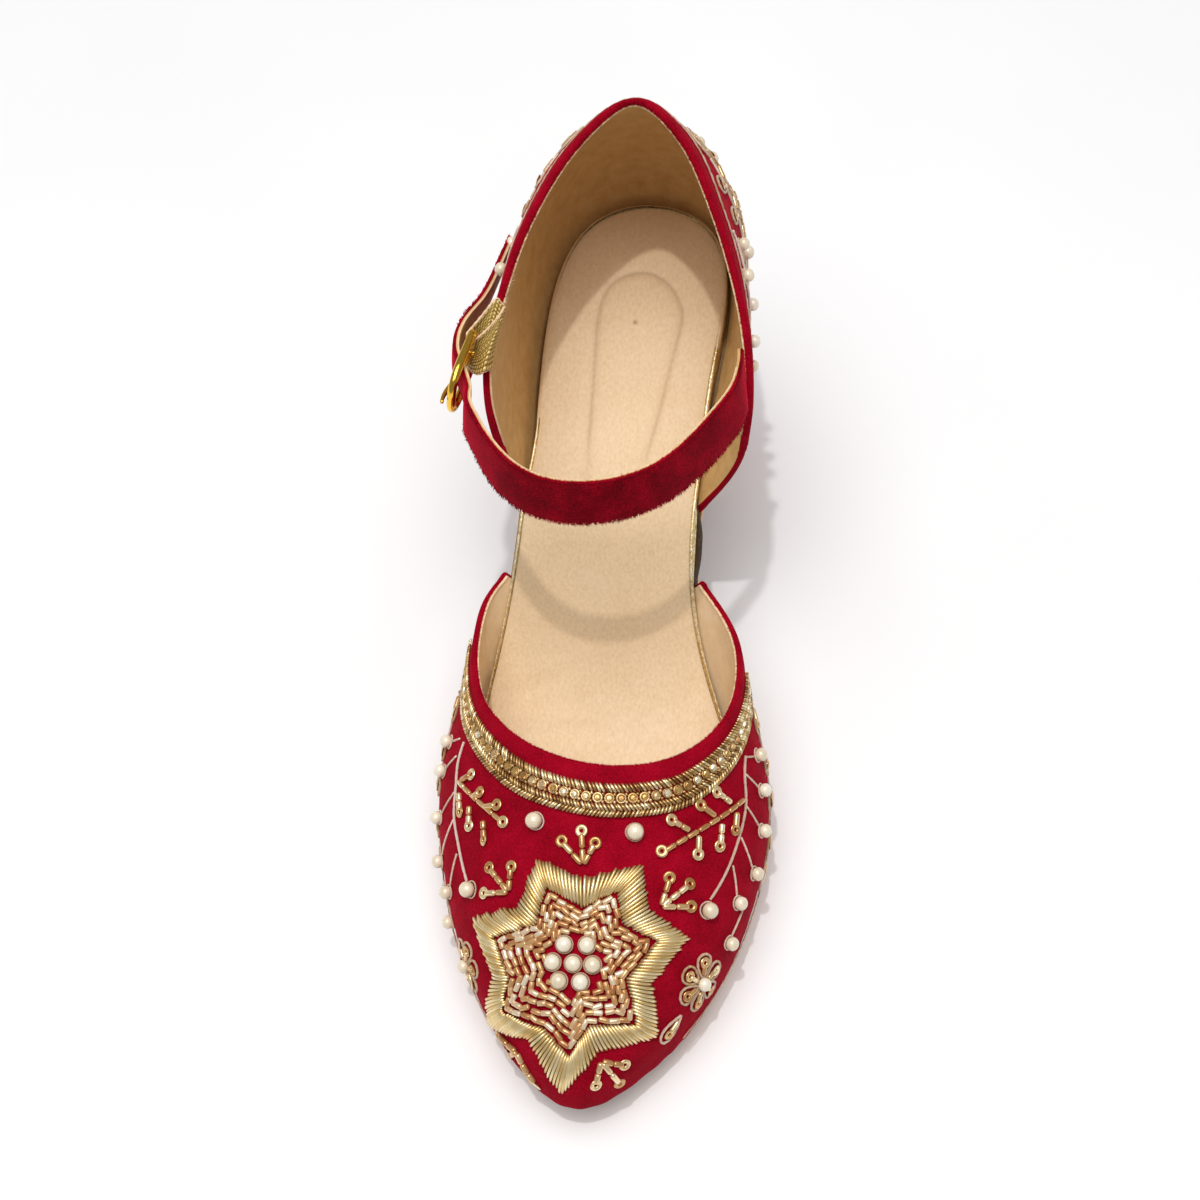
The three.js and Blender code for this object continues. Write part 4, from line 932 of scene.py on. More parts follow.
def strap_frame(d):
    d = np.asarray(d, float)
    at = lambda g: np.stack([strap_fn[k](g) for k in range(3)], -1)
    p = at(d)
    T = unit(at(np.minimum(STRAP_LEN, d + .02)) - at(np.maximum(0, d - .02)))
    out = unit(np.stack([-T[:, 1], T[:, 0], 0 * d], -1))
    tilt = np.radians(strap_fn[3](d))[:, None]
    up = np.array([0, 0, 1.0]) * np.cos(tilt) - out * np.sin(tilt)
    up = unit(up - (up * T).sum(-1, keepdims=True) * T)
    n = unit(np.cross(T, up))
    n = np.where((n * out).sum(-1, keepdims=True) < 0, -n, n)
    k = np.clip(strap_fn[4](d), 0, 1)
    w = (STRAP_W * (1 - k) + STRAP_W_IN_BUCKLE * k) / 2
    return p, T, up, n, w


def strap_lie(d):
    """Strap frame with its sewn end drawn up to the inner face of the rear part."""
    p, T, up, n, w = strap_frame(d)
    p = p + n * (1.6 * (1 - smooth(d, 3, 24)))[:, None] - up * (.9 * (1 - smooth(d, 0, 9)))[:, None]
    return p, T, up, n, w


def build_strap():
    d = np.linspace(0, STRAP_LEN, 560)
    p, T, up, n, w = strap_lie(d)
    t = STRAP_T / 2
    # cross-section: share of half width, thickness offset; velvet face domed, lining inside
    sec = [(-1.0, -.15), (-1.0, .25), (-.965, .62), (-.88, .84), (-.6, .93), (-.2, .98), (.2, .98), (.6, .93), (.88, .84), (.965, .62),
           (1.0, .25), (1.0, -.15), (1.0, -.55), (.985, -.92), (.9, -1.0), (.3, -1.0), (-.3, -1.0), (-.9, -1.0), (-.985, -.92), (-1.0, -.55)]
    # soft bends where it goes through the frame, slow ripple of the cloth
    ripple = .12 * np.sin(d * .33) * (1 - np.clip(strap_fn[4](d), 0, 1))
    ring = np.stack([p + up * (a * w)[:, None] + n * (b * t + ripple * (1 - abs(a)))[:, None] for a, b in sec], 1)
    m = len(sec)
    s = Soup()
    f = strip_faces(len(d), m)
    # ring order: up, then out
    test = np.cross(ring[1, 0] - ring[0, 0], ring[0, 1] - ring[0, 0])
    turned = (test * (ring[0, 0] - p[0])).sum() < 0
    if turned:
        f = f[:, ::-1]
    slot = np.where((np.tile(np.arange(m), len(d) - 1) >= 11) & (np.tile(np.arange(m), len(d) - 1) < 19), 1, 0)
    uv = np.stack(np.broadcast_arrays(d[:, None] / 100, np.arange(m)[None] * 1.4 / 100), -1)
    s.add(ring, f, .5, uv, slot)
    for row, flip in ((0, turned), (len(d) - 1, not turned)):
        cap_fan(s, ring[row], flip)
    # the strap's velvet face takes the darker copy of the velvet, painted shade
    ob = s.build("strap_body", [VELVET_STRAP_PAINTED_SHADE, LINING], sharp=50)
    # pile hairs standing out at both edges
    h = Soup()
    for edge_side in (-1, 1):
        for count, out_lo, out_hi in ((2600, .45, 1.05),) if edge_side > 0 else ((3400, .5, 1.3),):
            g = np.sort(rng.uniform(9, STRAP_LEN - .5, count))
            g = g[np.clip(strap_fn[4](g), 0, 1) < .2]
            q, TT, uu, nn, ww = strap_lie(g)
            b = rng.uniform(-.1, .75, len(g))
            root = q + uu * (edge_side * ww * .985)[:, None] + nn * (b * t)[:, None]
            aim = uu * edge_side + nn * rng.normal(.15, .22, (len(g), 1)) + TT * rng.normal(0, .32, (len(g), 1))
            put_spikes(h, root, aim, rng.uniform(out_lo, out_hi, len(g)), .13, rng.uniform(.2, .8, len(g)))
    # the edge hairs take the lighter copy of the velvet, painted sheen
    hairs = h.build("strap_pile", PILE_PAINTED_SHEEN)
    # lining edge showing above the velvet
    e = Soup()
    far = d > 7
    for a in (-1, 1):
        put_tube(e, (p + up * (a * (w - .14))[:, None] - n * (t * .74))[far], .25, n[far], 7, tone=.5)
    lip = e.build("strap_edge", PIPING)
    # two rows of running stitches on the tail
    st = Soup()
    for a in (-1, 1):
        for g0 in np.arange(strap_run[len(STRAP_FRONT) + len(STRAP_THREAD) - 1], STRAP_LEN - 4, 3.3):
            g = np.linspace(g0, g0 + 1.9, 5)
            if np.clip(strap_fn[4](g), 0, 1).max() > .1:
                continue
            q, TT, uu, nn, ww = strap_frame(g)
            put_tube(st, q + uu * (a * (ww - 1.9))[:, None] + nn * (t * .90 + .06 * np.sin(np.linspace(0, np.pi, 5)))[:, None], .15, nn, 6)
    stitches = st.build("strap_stitches", STITCH)
    return ob, hairs, lip, stitches


strap_body, strap_pile, strap_edge, strap_stitches = build_strap()


# ------------------------------------------------------------------ buckle
def curve_through(points, n):
    points = np.asarray(points, float)
    run = np.r_[0, np.cumsum(np.linalg.norm(np.diff(points, axis=0), axis=1))]
    w = np.linspace(0, run[-1], n)
    return np.stack([spline(run, points[:, k])(w) for k in range(3)], -1)


b = Soup()
g = (np.arange(160) + .5) * 2 * np.pi / 160
pw = np.where(np.cos(g) > 0, 2 / BUCKLE_POWER_REAR, 2 / BUCKLE_POWER_FRONT)
loop = bk(BUCKLE_HALF_LONG * np.sign(np.cos(g)) * np.abs(np.cos(g)) ** pw, BUCKLE_HALF_WIDE * np.sign(np.sin(g)) * np.abs(np.sin(g)) ** pw, 0)
run = np.r_[0, np.cumsum(np.linalg.norm(np.diff(np.r_[loop, loop[:1]], axis=0), axis=1))]
even = np.linspace(0, run[-1], 181)[:-1]
loop = np.stack([np.interp(even, run, np.r_[loop, loop[:1]][:, k]) for k in range(3)], -1)
put_tube(b, loop, BUCKLE_WIRE_R, -BUCKLE_IN, 16, closed=True, tone=.55)
buckle_frame = b.build("buckle_loop", STEEL_GOLD)
b = Soup()
a = np.arange(40) * 2 * np.pi / 40
rr = BUCKLE_WIRE_R + GAP + .45
put_tube(b, bk(BUCKLE_HALF_LONG + rr * np.cos(a), 0, rr * np.sin(a)), .46, BUCKLE_UP, 10, closed=True, tone=.5, flat=2.2)
shaft = curve_through(bk([7.3, 4.6, 1.6, -2, -5.6, -9, -10.6], 0, [.1, .2, .45, 1.0, 1.75, 2.15, 1.9]), 40)
put_tube(b, shaft, np.r_[np.full(30, PRONG_R), np.linspace(PRONG_R, PRONG_R * .62, 10)], BUCKLE_UP, 12, tone=.55)
buckle_tongue = b.build("buckle_tongue", STEEL_GOLD)

# elastic: a band folded round the rear bar, its two layers sewn together at the counter edge
WEB_HALF = 5.3


def build_elastic():
    s = Soup()
    nv, nk = 36, 33
    v = np.linspace(0, 1, nv + 1)
    k = np.linspace(0, 1, nk)
    seam_d = np.linspace(-95.2, -82.6, nv + 1)
    seam, seam_n = counter.at(seam_d, counter.down(seam_d, np.full(nv + 1, 1.4)))
    seam = seam - seam_n * (WALL + .25)
    lip = counter.point(seam_d, np.ones(nv + 1)) - seam_n * (WALL * .5)
    lip_up = unit(counter.point(seam_d, np.ones(nv + 1)) - counter.point(seam_d, np.full(nv + 1, .96)))
    wrap_r = BUCKLE_WIRE_R + .45
    rows = []
    for i, q in enumerate(v):
        bar = bk(BUCKLE_HALF_LONG, WEB_HALF * (2 * q - 1), 0)
        end = seam[i]
        ax = unit((end - bar) * np.array([1, 1, .3]))
        side = unit(np.cross(BUCKLE_UP, ax))
        if side[1] > 0:
            side = -side
        # front layer bows toward the toe, rear layer lies flatter; both are caught in the seam
        ease = 1 - smooth(k, .55, 1.0)
        hop = lip[i] + lip_up[i] * .95
        k1, k2 = np.minimum(1, k / .68)[:, None], np.maximum(0, (k - .68) / .32)[:, None]
        flat = bar + (hop - bar) * k1 + (end - hop) * k2
        front = 2.5 * np.sin(np.pi * np.minimum(1, k * 1.01)) ** .9 * (.75 + .5 * (1 - q))
        back = .5 * np.sin(np.pi * k) * (.3 + q)
        toe = np.array([.15, -.98, .1])
        near = flat + side * (wrap_r * ease + .34 * (1 - ease))[:, None] + toe * front[:, None]
        away = flat - side * (wrap_r * ease - .30 * (1 - ease))[:, None] + toe * (front * .35 - back * .3)[:, None]
        a = np.linspace(np.pi / 2, np.pi * 1.5, 13)[1:-1]
        nose = bar + wrap_r * (np.cos(a)[:, None] * ax + np.sin(a)[:, None] * side)
        rows.append(np.concatenate([near[::-1], nose, away], 0))
    mid = np.stack(rows)
    T = unit(np.gradient(mid, axis=1))
    n = unit(np.cross(T, np.gradient(mid, axis=0)))
    th = .36 + .09 * np.sin(v * np.pi * 2 * 9)[:, None, None]
    m = mid.shape[1]
    uv = np.stack(np.broadcast_arrays(np.arange(m)[None] * .32 / 10, v[:, None] * 10.6 / 10), -1)
    outer, inner = mid + n * th, mid - n * th
    fo = strip_faces(nv + 1, m, False)
    s.add(outer, fo[:, ::-1], .5, uv, 0)
    s.add(inner, fo, .5, uv, 0)
    for row, flip in ((0, False), (nv, True)):
        rim_pts = np.stack([outer[row], inner[row]], 1)
        fr = strip_faces(m, 2, False)
        s.add(rim_pts, fr if flip else fr[:, ::-1], .5, None, 0)
    ob = s.build("elastic_loop", ELASTIC)
    e = Soup()
    for row in (0, nv):
        put_tube(e, mid[row], .36 * (1 + .2 * np.sin(np.arange(m) * 1.7)), n[row], 7)
    # frayed thread ends along the seam and the edge above it
    count = 150
    dd = rng.uniform(-97, -74, count)
    root, rn = counter.at(dd, counter.down(dd, rng.uniform(.2, 1.6, count)))
    put_spikes(e, root - rn * 2.0, -rn * .8 + rng.normal(0, .6, (count, 3)), rng.uniform(.5, 1.9, count), .07, .6)
    lips = e.build("elastic_edge", PIPING)
    return ob, lips


elastic_loop, elastic_edge = build_elastic()

# ------------------------------------------------------------------ embroidery tools
S_THREAD, S_BUGLE, S_SEQUIN, S_PEARL = Soup(), Soup(), Soup(), Soup()
S_CHAIN, S_BULLION, S_STARBEAD = Soup(), Soup(), Soup()


def tone(lo=.2, hi=.9):
    return float(rng.uniform(lo, hi))


def thread(shell, rows, r=.38, soup=None):
    d, t = shell.path(rows, .45)
    p, n = shell.at(d, t)
    run = np.arange(len(d)) * .45
    rad = r * (1 - .28 * np.exp(-(((run % 3.1) - 1.55) / .22) ** 2))
    put_tube(soup or S_THREAD, p + n * (r * .8), rad, n, 7, tone=tone(.35, .75))


def pearl(shell, at, r=2.0, wrap=True):
    p, n = shell.at(np.array([at[0]]), np.array([at[1]]))
    p, n = p[0], n[0]
    put_ball(S_PEARL, p + n * r * .78, n, r, .9, tone(.3, .7))
    if wrap:
        a = np.arange(28) * 2 * np.pi / 28
        x = unit(np.cross(n, [.2, .7, .6]))
        y = np.cross(n, x)
        rad = r * 1.0 + .06 * np.sin(3 * a + tone(0, 6))
        ring = p + n * .30 + rad[:, None] * (np.cos(a)[:, None] * x + np.sin(a)[:, None] * y)
        put_tube(S_THREAD, ring, .24, n, 6, closed=True, tone=tone(.3, .7))


def bugle(shell, a, b, r=.78, unit_len=3.0, soup=None, lo=.2, hi=.9):
    """Short tube beads end to end on a line between two places."""
    pa, na = shell.at(np.array([a[0]]), np.array([a[1]]))
    pb, nb = shell.at(np.array([b[0]]), np.array([b[1]]))
    L = float(np.linalg.norm(pb - pa))
    count = max(1, int(round(L / unit_len)))
    base = tone(lo, hi)
    for i in range(count):
        k = (np.array([0, .07, .16, .84, .93, 1.0]) * .94 + .03 + i) / count
        p = pa * (1 - k)[:, None] + pb * k[:, None]
        p, n = shell.lift(p, a[0] + (b[0] - a[0]) * k, a[1] + (b[1] - a[1]) * k, np.full(6, r * .95))
        put_tube(soup or S_BUGLE, p, r * np.array([.55, .9, 1, 1, .9, .55]), n, 9, tone=np.clip(base + rng.normal(0, .12), 0, 1))


SEQ_R = np.array([.46, .60, .90, 1.18, 1.42, 1.56, 1.42, 1.10, .72, .46])
SEQ_H = np.array([.12, .34, .42, .46, .40, .22, .08, .02, .00, .00])


def sequin(shell, at, size=1.0, height=.55):
    p, n = shell.at(np.array([at[0]]), np.array([at[1]]))
    p = p[0]
    n = unit(n[0] + rng.normal(0, .10, 3))
    x = unit(np.cross(n, [.2, .7, .6]))
    y = np.cross(n, x)
    a = np.arange(20) * 2 * np.pi / 20
    ring = p + n * height + size * (SEQ_R[:, None, None] * (np.cos(a)[None, :, None] * x + np.sin(a)[None, :, None] * y) + SEQ_H[:, None, None] * n)
    S_SEQUIN.add(ring, strip_faces(10, 20, True, True), tone(.15, .95))


def lerp(a, b, k):
    return (a[0] + (b[0] - a[0]) * k, a[1] + (b[1] - a[1]) * k)


def stem_bead(shell, base, tip):
    """One bead stem with a sequin threaded on its end."""
    sequin(shell, tip)
    bugle(shell, lerp(base, tip, .04), lerp(base, tip, .92))


def sprig(shell, base, tips):
    for t in tips:
        stem_bead(shell, base, t)


def branch(shell, start, end, sides):
    bugle(shell, start, lerp(start, end, .97), .66, 3.2)
    sequin(shell, end)
    for tip, base in sides:
        stem_bead(shell, base, tip)


def leaf_loop(shell, base, tip, width, n=40):
    pb = shell.point(np.array([base[0]]), np.array([base[1]]))[0]
    pt = shell.point(np.array([tip[0]]), np.array([tip[1]]))[0]
    nb = shell.normal(np.array([(base[0] + tip[0]) / 2]), np.array([(base[1] + tip[1]) / 2]))[0]
    axis = pt - pb
    across = unit(np.cross(nb, axis))
    phi = np.linspace(0, 2 * np.pi, n)
    along = (1 - np.cos(phi)) / 2
    wide = width / 2 * np.sin(phi) * np.sin(phi / 2) ** 1.1 * 1.25
    p = pb + axis * along[:, None] + across * wide[:, None]
    return p, base[0] + (tip[0] - base[0]) * along, base[1] + (tip[1] - base[1]) * along


def leaf(shell, base, tip, width=4.6, fill=True, r=.36):
    p, d, t = leaf_loop(shell, base, tip, width)
    p, n = shell.lift(p, d, t, np.full(len(d), r * .9))
    put_tube(S_THREAD, p, r * (1 + .12 * np.sin(np.arange(len(d)) * 1.9)), n, 7, tone=tone(.05, .42))
    if fill:
        sequin(shell, lerp(base, tip, .66), .92)
        bugle(shell, lerp(base, tip, .16), lerp(base, tip, .62), .62, 4.0)


def flower(shell, centre, tips=None, count=6, length=6.6, phase=0.0, width=4.6, pearl_r=1.75):
    c, n = shell.at(np.array([centre[0]]), np.array([centre[1]]))
    jd, jt = shell.tangents(np.array([centre[0]]), np.array([centre[1]]))
    if tips is None:
        up = unit(jt[0] - (jt[0] * n[0]).sum() * n[0])
        right = unit(jd[0] - (jd[0] * up).sum() * up)
        tips = []
        for k in range(count):
            a = math.radians(phase) + 2 * np.pi * k / count
            q = c + (up * math.cos(a) + right * math.sin(a)) * length
            dd, tt = shell.snap(q, np.array([centre[0]]), np.array([centre[1]]), 6)
            tips.append((float(dd[0]), float(tt[0])))
    for tip in tips:
        leaf(shell, lerp(centre, tip, .16), tip, width)
    pearl(shell, centre, pearl_r, False)


def chain(shell, rows, link=2.5, width=1.15, r=.17, lift=0.0):
    """Chain stitch: a row of small interlinked loops."""
    d, t = shell.path(rows, .25)
    p, n = shell.at(d, t)
    run = np.r_[0, np.cumsum(np.linalg.norm(np.diff(p, axis=0), axis=1))]
    phi = np.linspace(0, 2 * np.pi, 14, endpoint=False)
    along = (1 - np.cos(phi)) / 2 * link * 1.22
    wide = width / 2 * np.sin(phi) * np.abs(np.sin(phi / 2 + .25)) ** .8
    starts = np.arange(0, run[-1] - link, link)
    T = unit(np.gradient(p, axis=0))
    B = np.cross(n, T)
    at = starts[:, None] + along[None]
    pick = lambda q: np.stack([np.interp(at, run, q[:, k]) for k in range(3)], -1)
    base, bn, bb = pick(p), unit(pick(n)), pick(B)
    lift_h = .16 + lift + .16 * (along / (link * 1.22))
    loops = base + bb * wide[None, :, None] + bn * lift_h[None, :, None]
    for k in range(len(starts)):
        put_tube(S_CHAIN, loops[k], r, bn[k], 5, closed=True, tone=tone(.1, .5))


def mirror(shell, rows):
    k = shell.hi / -shell.lo
    flip = lambda q: (-q[0] * k, q[1]) if q[0] < 0 else (-q[0] / k, q[1])
    return [flip(q) if not isinstance(q[0], tuple) else tuple(flip(z) for z in q) for q in rows]


# ------------------------------------------------------------------ vamp embroidery: (rim length, height share)
STAR_OUT = [(-14.4, .743), (-1.8, .751), (9.5, .764), (10.5, .661), (27.4, .522), (13.1, .472), (18.2, .28), (3.2, .333),
            (-2.6, .15), (-9.3, .306), (-28.8, .125), (-23.9, .385), (-38.8, .445), (-16.5, .615)]
STAR_IN = [(-8.1, .698), (-1.2, .688), (3.2, .724), (4.3, .648), (13.3, .574), (5.9, .513), (9.7, .377), (1, .413),
           (-1.1, .316), (-5.3, .373), (-19.1, .308), (-16.4, .429), (-25.2, .487), (-8.9, .61)]
STAR_PEARLS = [(-3, .599), (-.2, .608), (-4.4, .55), (-1.6, .562), (.7, .564), (-3.2, .513), (-.5, .522)]
STAR_CENTRE = (-1.6, .562)


def build_star():
    out, inn = np.array(STAR_OUT), np.array(STAR_IN)
    po, pi = vamp.point(out[:, 0], out[:, 1]), vamp.point(inn[:, 0], inn[:, 1])
    k = np.linspace(0, 1, 9)
    rise = np.sin(np.pi * (.04 + .92 * k)) ** .7
    pad = Soup()
    for i in range(14):
        j = (i + 1) % 14
        length = (np.linalg.norm(po[j] - po[i]) + np.linalg.norm(pi[j] - pi[i])) / 2
        count = max(6, int(round(length / .96)))
        share = (np.arange(count) + .5) / count
        # padding sheet under the rods in the darkest bullion tone: the padding is real, its dark colour is painted
        # shade for the gaps between rods
        shaded_padding = []
        for q in share:
            a, b = po[i] * (1 - q) + po[j] * q, pi[i] * (1 - q) + pi[j] * q
            da, db = out[i] * (1 - q) + out[j] * q, inn[i] * (1 - q) + inn[j] * q
            ext0, ext1 = rng.normal(0, .035), rng.normal(0, .03)
            kk = ext0 + k * (1 + ext1 - ext0)
            p = a * (1 - kk)[:, None] + b * kk[:, None]
            g = da * (1 - kk)[:, None] + db * kk[:, None]
            p, n = vamp.lift(p, g[:, 0], g[:, 1], .30 + 1.15 * rise + rng.normal(0, .07))
            put_tube(S_BULLION, p, .40 * np.array([.7, .95, 1, 1, 1, 1, 1, .95, .7]), n, 8, tone=tone(.42, .82))
            shaded_padding.append(p - n * .40)
        shaded_padding = np.array(shaded_padding)
        S_BULLION.add(shaded_padding, strip_faces(count, 9, False), .0)
    c = vamp.point(np.array([STAR_CENTRE[0]]), np.array([STAR_CENTRE[1]]))[0]
    for scale in (.905, .79, .675, .56, .45, .35):
        pts = c + (pi - c) * scale
        gd = np.array(STAR_CENTRE) + (inn - np.array(STAR_CENTRE)) * scale
        for i in range(14):
            j = (i + 1) % 14
            L = np.linalg.norm(pts[j] - pts[i])
            count = max(1, int(round(L / 2.4)))
            for q in range(count):
                k0, k1 = (q + .03) / count, (q + .97) / count
                kk = k0 + (k1 - k0) * np.array([0, .08, .92, 1.0])
                p = pts[i] * (1 - kk)[:, None] + pts[j] * kk[:, None]
                if np.linalg.norm(p.mean(0) - c) < 6.9:
                    continue
                g = gd[i] * (1 - kk)[:, None] + gd[j] * kk[:, None]
                mid = p.mean(0)
                turn = rng.normal(0, .22)
                nn = vamp.normal(g[:1, 0], g[:1, 1])[0]
                arm = p - mid
                p = mid + arm * math.cos(turn) + np.cross(nn, arm) * math.sin(turn) + rng.normal(0, .20, 3)
                p, n = vamp.lift(p, g[:, 0], g[:, 1], np.full(4, .62 + abs(rng.normal(0, .16))))
                put_tube(S_STARBEAD, p, .74 * np.array([.9, 1, 1, .9]), n, 9, tone=float(np.clip(rng.beta(1.5, 1.7), 0, 1)))
    for at in STAR_PEARLS:
        pearl(vamp, at, 1.98, False)
        p, n = vamp.at(np.array([at[0]]), np.array([at[1]]))
        a = np.arange(24) * 2 * np.pi / 24
        x = unit(np.cross(n[0], [.2, .7, .6]))
        y = np.cross(n[0], x)
        tilt = rng.normal(0, .18, 2)
        put_tube(S_THREAD, p[0] + n[0] * (1.1 + tilt[0] * np.cos(a) + tilt[1] * np.sin(a))[:, None] + 2.16 * (np.cos(a)[:, None] * x + np.sin(a)[:, None] * y),
                 .19, n[0], 6, closed=True, tone=.25)


build_star()
for at in ((-24.4, .812), (8.7, .84)):
    pearl(vamp, at, 2.15)
sprig(vamp, (-2, .778), [(-7.6, .809), (-3.5, .848), (-.6, .829)])
sprig(vamp, (-22.8, .624), [(-36.9, .62), (-25.6, .68), (-35.3, .551)])
sprig(vamp, (15.2, .649), [(21.2, .703), (30.4, .653), (29.6, .596)])
sprig(vamp, (3.7, .298), [(9.2, .248), (9.4, .162), (3.5, .204)])
sprig(vamp, (-14.5, .205), [(-23.5, .155), (-20.5, .085), (-9.8, .095)])
branch(vamp, (-79.7, .634), (-41.9, .743), [((-76.1, .723), (-78.7, .652)), ((-65.2, .726), (-67.2, .682)), ((-51.5, .758), (-58.2, .707)),
       ((-69, .593), (-75.7, .621)), ((-59.5, .616), (-65.8, .656)), ((-46.5, .654), (-53.3, .687))])
branch(vamp, (77.4, .668), (20.1, .771), [((32, .827), (39.2, .773)), ((52, .811), (56.2, .747)), ((65.8, .802), (69.2, .723)),
       ((38.5, .704), (42.7, .748)), ((51, .668), (57.7, .715)), ((63.3, .649), (69.5, .682))])
thread(vamp, [(95, .739), (87, .704), (79.4, .65), (65.3, .61), (53.6, .586), (44.6, .57), (39.4, .563)])
pearl(vamp, (37.2, .544), 2.1)
for at, root in (((100.7, .623), (94.7, .737)), ((90.6, .534), (88.1, .699)), ((79.8, .455), (77.3, .631)), ((67.5, .406), (65.5, .595)),
                 ((53.8, .437), (55.1, .568)), ((47.7, .342), (58.1, .371))):
    thread(vamp, [root, lerp(root, at, .5), lerp(root, at, .82)], .30)
    pearl(vamp, at, 1.8)
thread(vamp, [(-92.1, .738), (-86.7, .651), (-80.3, .603), (-71.9, .539), (-63.1, .52), (-55.3, .506), (-48.1, .496)])
pearl(vamp, (-43.9, .5), 2.1)
for at, root in (((-99.8, .577), (-95.5, .706)), ((-92.6, .479), (-90.4, .648)), ((-81.5, .366), (-78.9, .578)), ((-72.1, .268), (-71.2, .525)),
                 ((-59.3, .319), (-60.3, .486)), ((-57.2, .189), (-66, .262))):
    thread(vamp, [root, lerp(root, at, .5), lerp(root, at, .82)], .30)
    pearl(vamp, at, 1.8)
flower(vamp, (34.5, .325), None, 6, 7.4, 4)
flower(vamp, (-41.4, .226), None, 6, 7.0, 10)
leaf(vamp, (27.0, .275), (21.2, .222), 4.4)

VINE_STEM = [(-83.1, .15), (-89.8, .165), (-94.9, .20), (-99.1, .268), (-103.8, .30), (-108.2, .357), (-110.8, .401), (-114.6, .486), (-119.2, .585)]
VINE_LEAVES = [((-82.9, .142), (-73.4, .165)), ((-90.5, .172), (-81.4, .238)), ((-99.5, .276), (-97.3, .105)), ((-99.5, .276), (-90, .366)),
               ((-108.3, .352), (-110.1, .19)), ((-108.3, .352), (-98.8, .45)), ((-119.5, .585), (-121.5, .345)), ((-119.5, .585), (-108.5, .56))]
CHAIN_VAMP = [(-132.4, .43), (-128.2, .40), (-122.2, .335), (-114.6, .275), (-105.6, .215), (-94.6, .16), (-85.4, .13), (-75, .115), (-65.1, .11),
              (-45.9, .095), (-30, .075)]
for rows in (VINE_STEM, mirror(vamp, VINE_STEM)):
    thread(vamp, rows, .34)
for rows in (VINE_LEAVES, mirror(vamp, VINE_LEAVES)):
    for base, tip in rows:
        leaf(vamp, base, tip, 4.6)
for rows in (CHAIN_VAMP, mirror(vamp, CHAIN_VAMP)):
    chain(vamp, [(d, t + .02) for d, t in rows], width=1.0, r=.14, lift=.46)
for rows in ([(-126, .44), (-128.5, .50)], mirror(vamp, [(-126, .44), (-128.5, .50)])):
    leaf(vamp, rows[1], rows[0], 3.4, False)

# ------------------------------------------------------------------ braid round the throat
S_BRAID, S_STONE = Soup(), Soup()


def braid_row(offset):
    """Line at an even distance from the throat edge, measured square to it on the shell."""
    d = np.linspace(-133.5, 130.5, 620)
    t = np.ones_like(d)
    top = vamp.point(d, t)
    T = unit(np.gradient(top, axis=0))
    far = offset * (1 - .34 * smooth(np.abs(d), 55, 125))
    p, g = top.copy(), d.copy()
    for _ in range(8):
        n = vamp.normal(g, t)
        step = unit(np.cross(n, T))
        step = np.where((step * (vamp.point(d, np.full_like(d, .85)) - top)).sum(-1, keepdims=True) < 0, -step, step)
        g, t = vamp.snap(p + step * (far / 8)[:, None], g, t, 3)
        p = vamp.point(g, t)
    n = vamp.normal(g, t)
    run = np.r_[0, np.cumsum(np.linalg.norm(np.diff(p, axis=0), axis=1))]
    w = np.arange(0, run[-1], .32)
    p = np.stack([np.interp(w, run, p[:, i]) for i in range(3)], -1)
    n = unit(np.stack([np.interp(w, run, n[:, i]) for i in range(3)], -1))
    soft = np.ones(9) / 9
    q = p.copy()
    for i in range(3):
        q[4:-4, i] = np.convolve(p[:, i], soft, "valid")
    return w, q, n


def rope(offset, half=.78, lean=.62, pitch=.92, r=.36):
    """Twisted cord: short slanting turns side by side."""
    w, p, n = braid_row(offset)
    T = unit(np.gradient(p, axis=0))
    B = np.cross(T, n)
    k = np.array([-1, -.6, 0, .6, 1])
    for at in np.arange(.6, w[-1] - .6, pitch):
        i = int(at / .32)
        i = min(i, len(w) - 1)
        c, nn, x, y = p[i], n[i], T[i], B[i]
        h = .30 + .62 * np.sqrt(np.maximum(0, 1 - k * k * .9))
        q = c + nn * h[:, None] + y * (half * k)[:, None] + x * (lean * k + rng.normal(0, .05))[:, None]
        put_tube(S_BRAID, q, r * np.array([.7, 1, 1, 1, .7]), nn, 6, tone=float(np.clip(.5 + .15 * math.sin(at / 8 + offset) + rng.normal(0, .28), .05, 1)))


for off, lean, half in ((5.45, .72, 1.05), (10.2, .62, .80), (11.8, -.62, .80)):
    rope(off, half, lean)
w, p, n = braid_row(7.95)
T = unit(np.gradient(p, axis=0))
B = np.cross(T, n)
for at in np.arange(1.2, w[-1] - 1, 2.9):
    i = int(at / .32)
    c, nn, x, y = p[i], n[i], T[i], B[i]
    a = np.arange(12) * 2 * np.pi / 12
    put_tube(S_BRAID, c + nn * .50 + 1.10 * (np.cos(a)[:, None] * x + np.sin(a)[:, None] * y), .30, nn, 6, closed=True, tone=tone(.2, .7))
    v = []
    for j, (rad, h) in enumerate([(1.0, .5), (.95, .92), (.6, 1.24)]):
        v.append(c + nn * h + rad * (np.cos(a[::2] + .26 * j)[:, None] * x + np.sin(a[::2] + .26 * j)[:, None] * y))
    v = np.concatenate(v + [(c + nn * 1.28)[None]])
    kk = np.arange(6)
    # about one stone in eight takes the palest tone: painted glint
    S_STONE.add(v, strip_faces(3, 6), tone(.1, .75) if rng.uniform() > .12 else 1.0)
    S_STONE.f.append(np.c_[12 + (kk + 1) % 6, 12 + kk, np.full(6, 18)] + S_STONE.n - len(v))
    S_STONE.mat.append(np.zeros(6, int))
    j = min(len(w) - 1, i + 4)
    for side in (-1, 1):
        put_ball(S_BRAID, p[j] + n[j] * .45 + B[j] * side * .95, n[j], .48, 1.0, tone(.2, .8), form=BEAD)

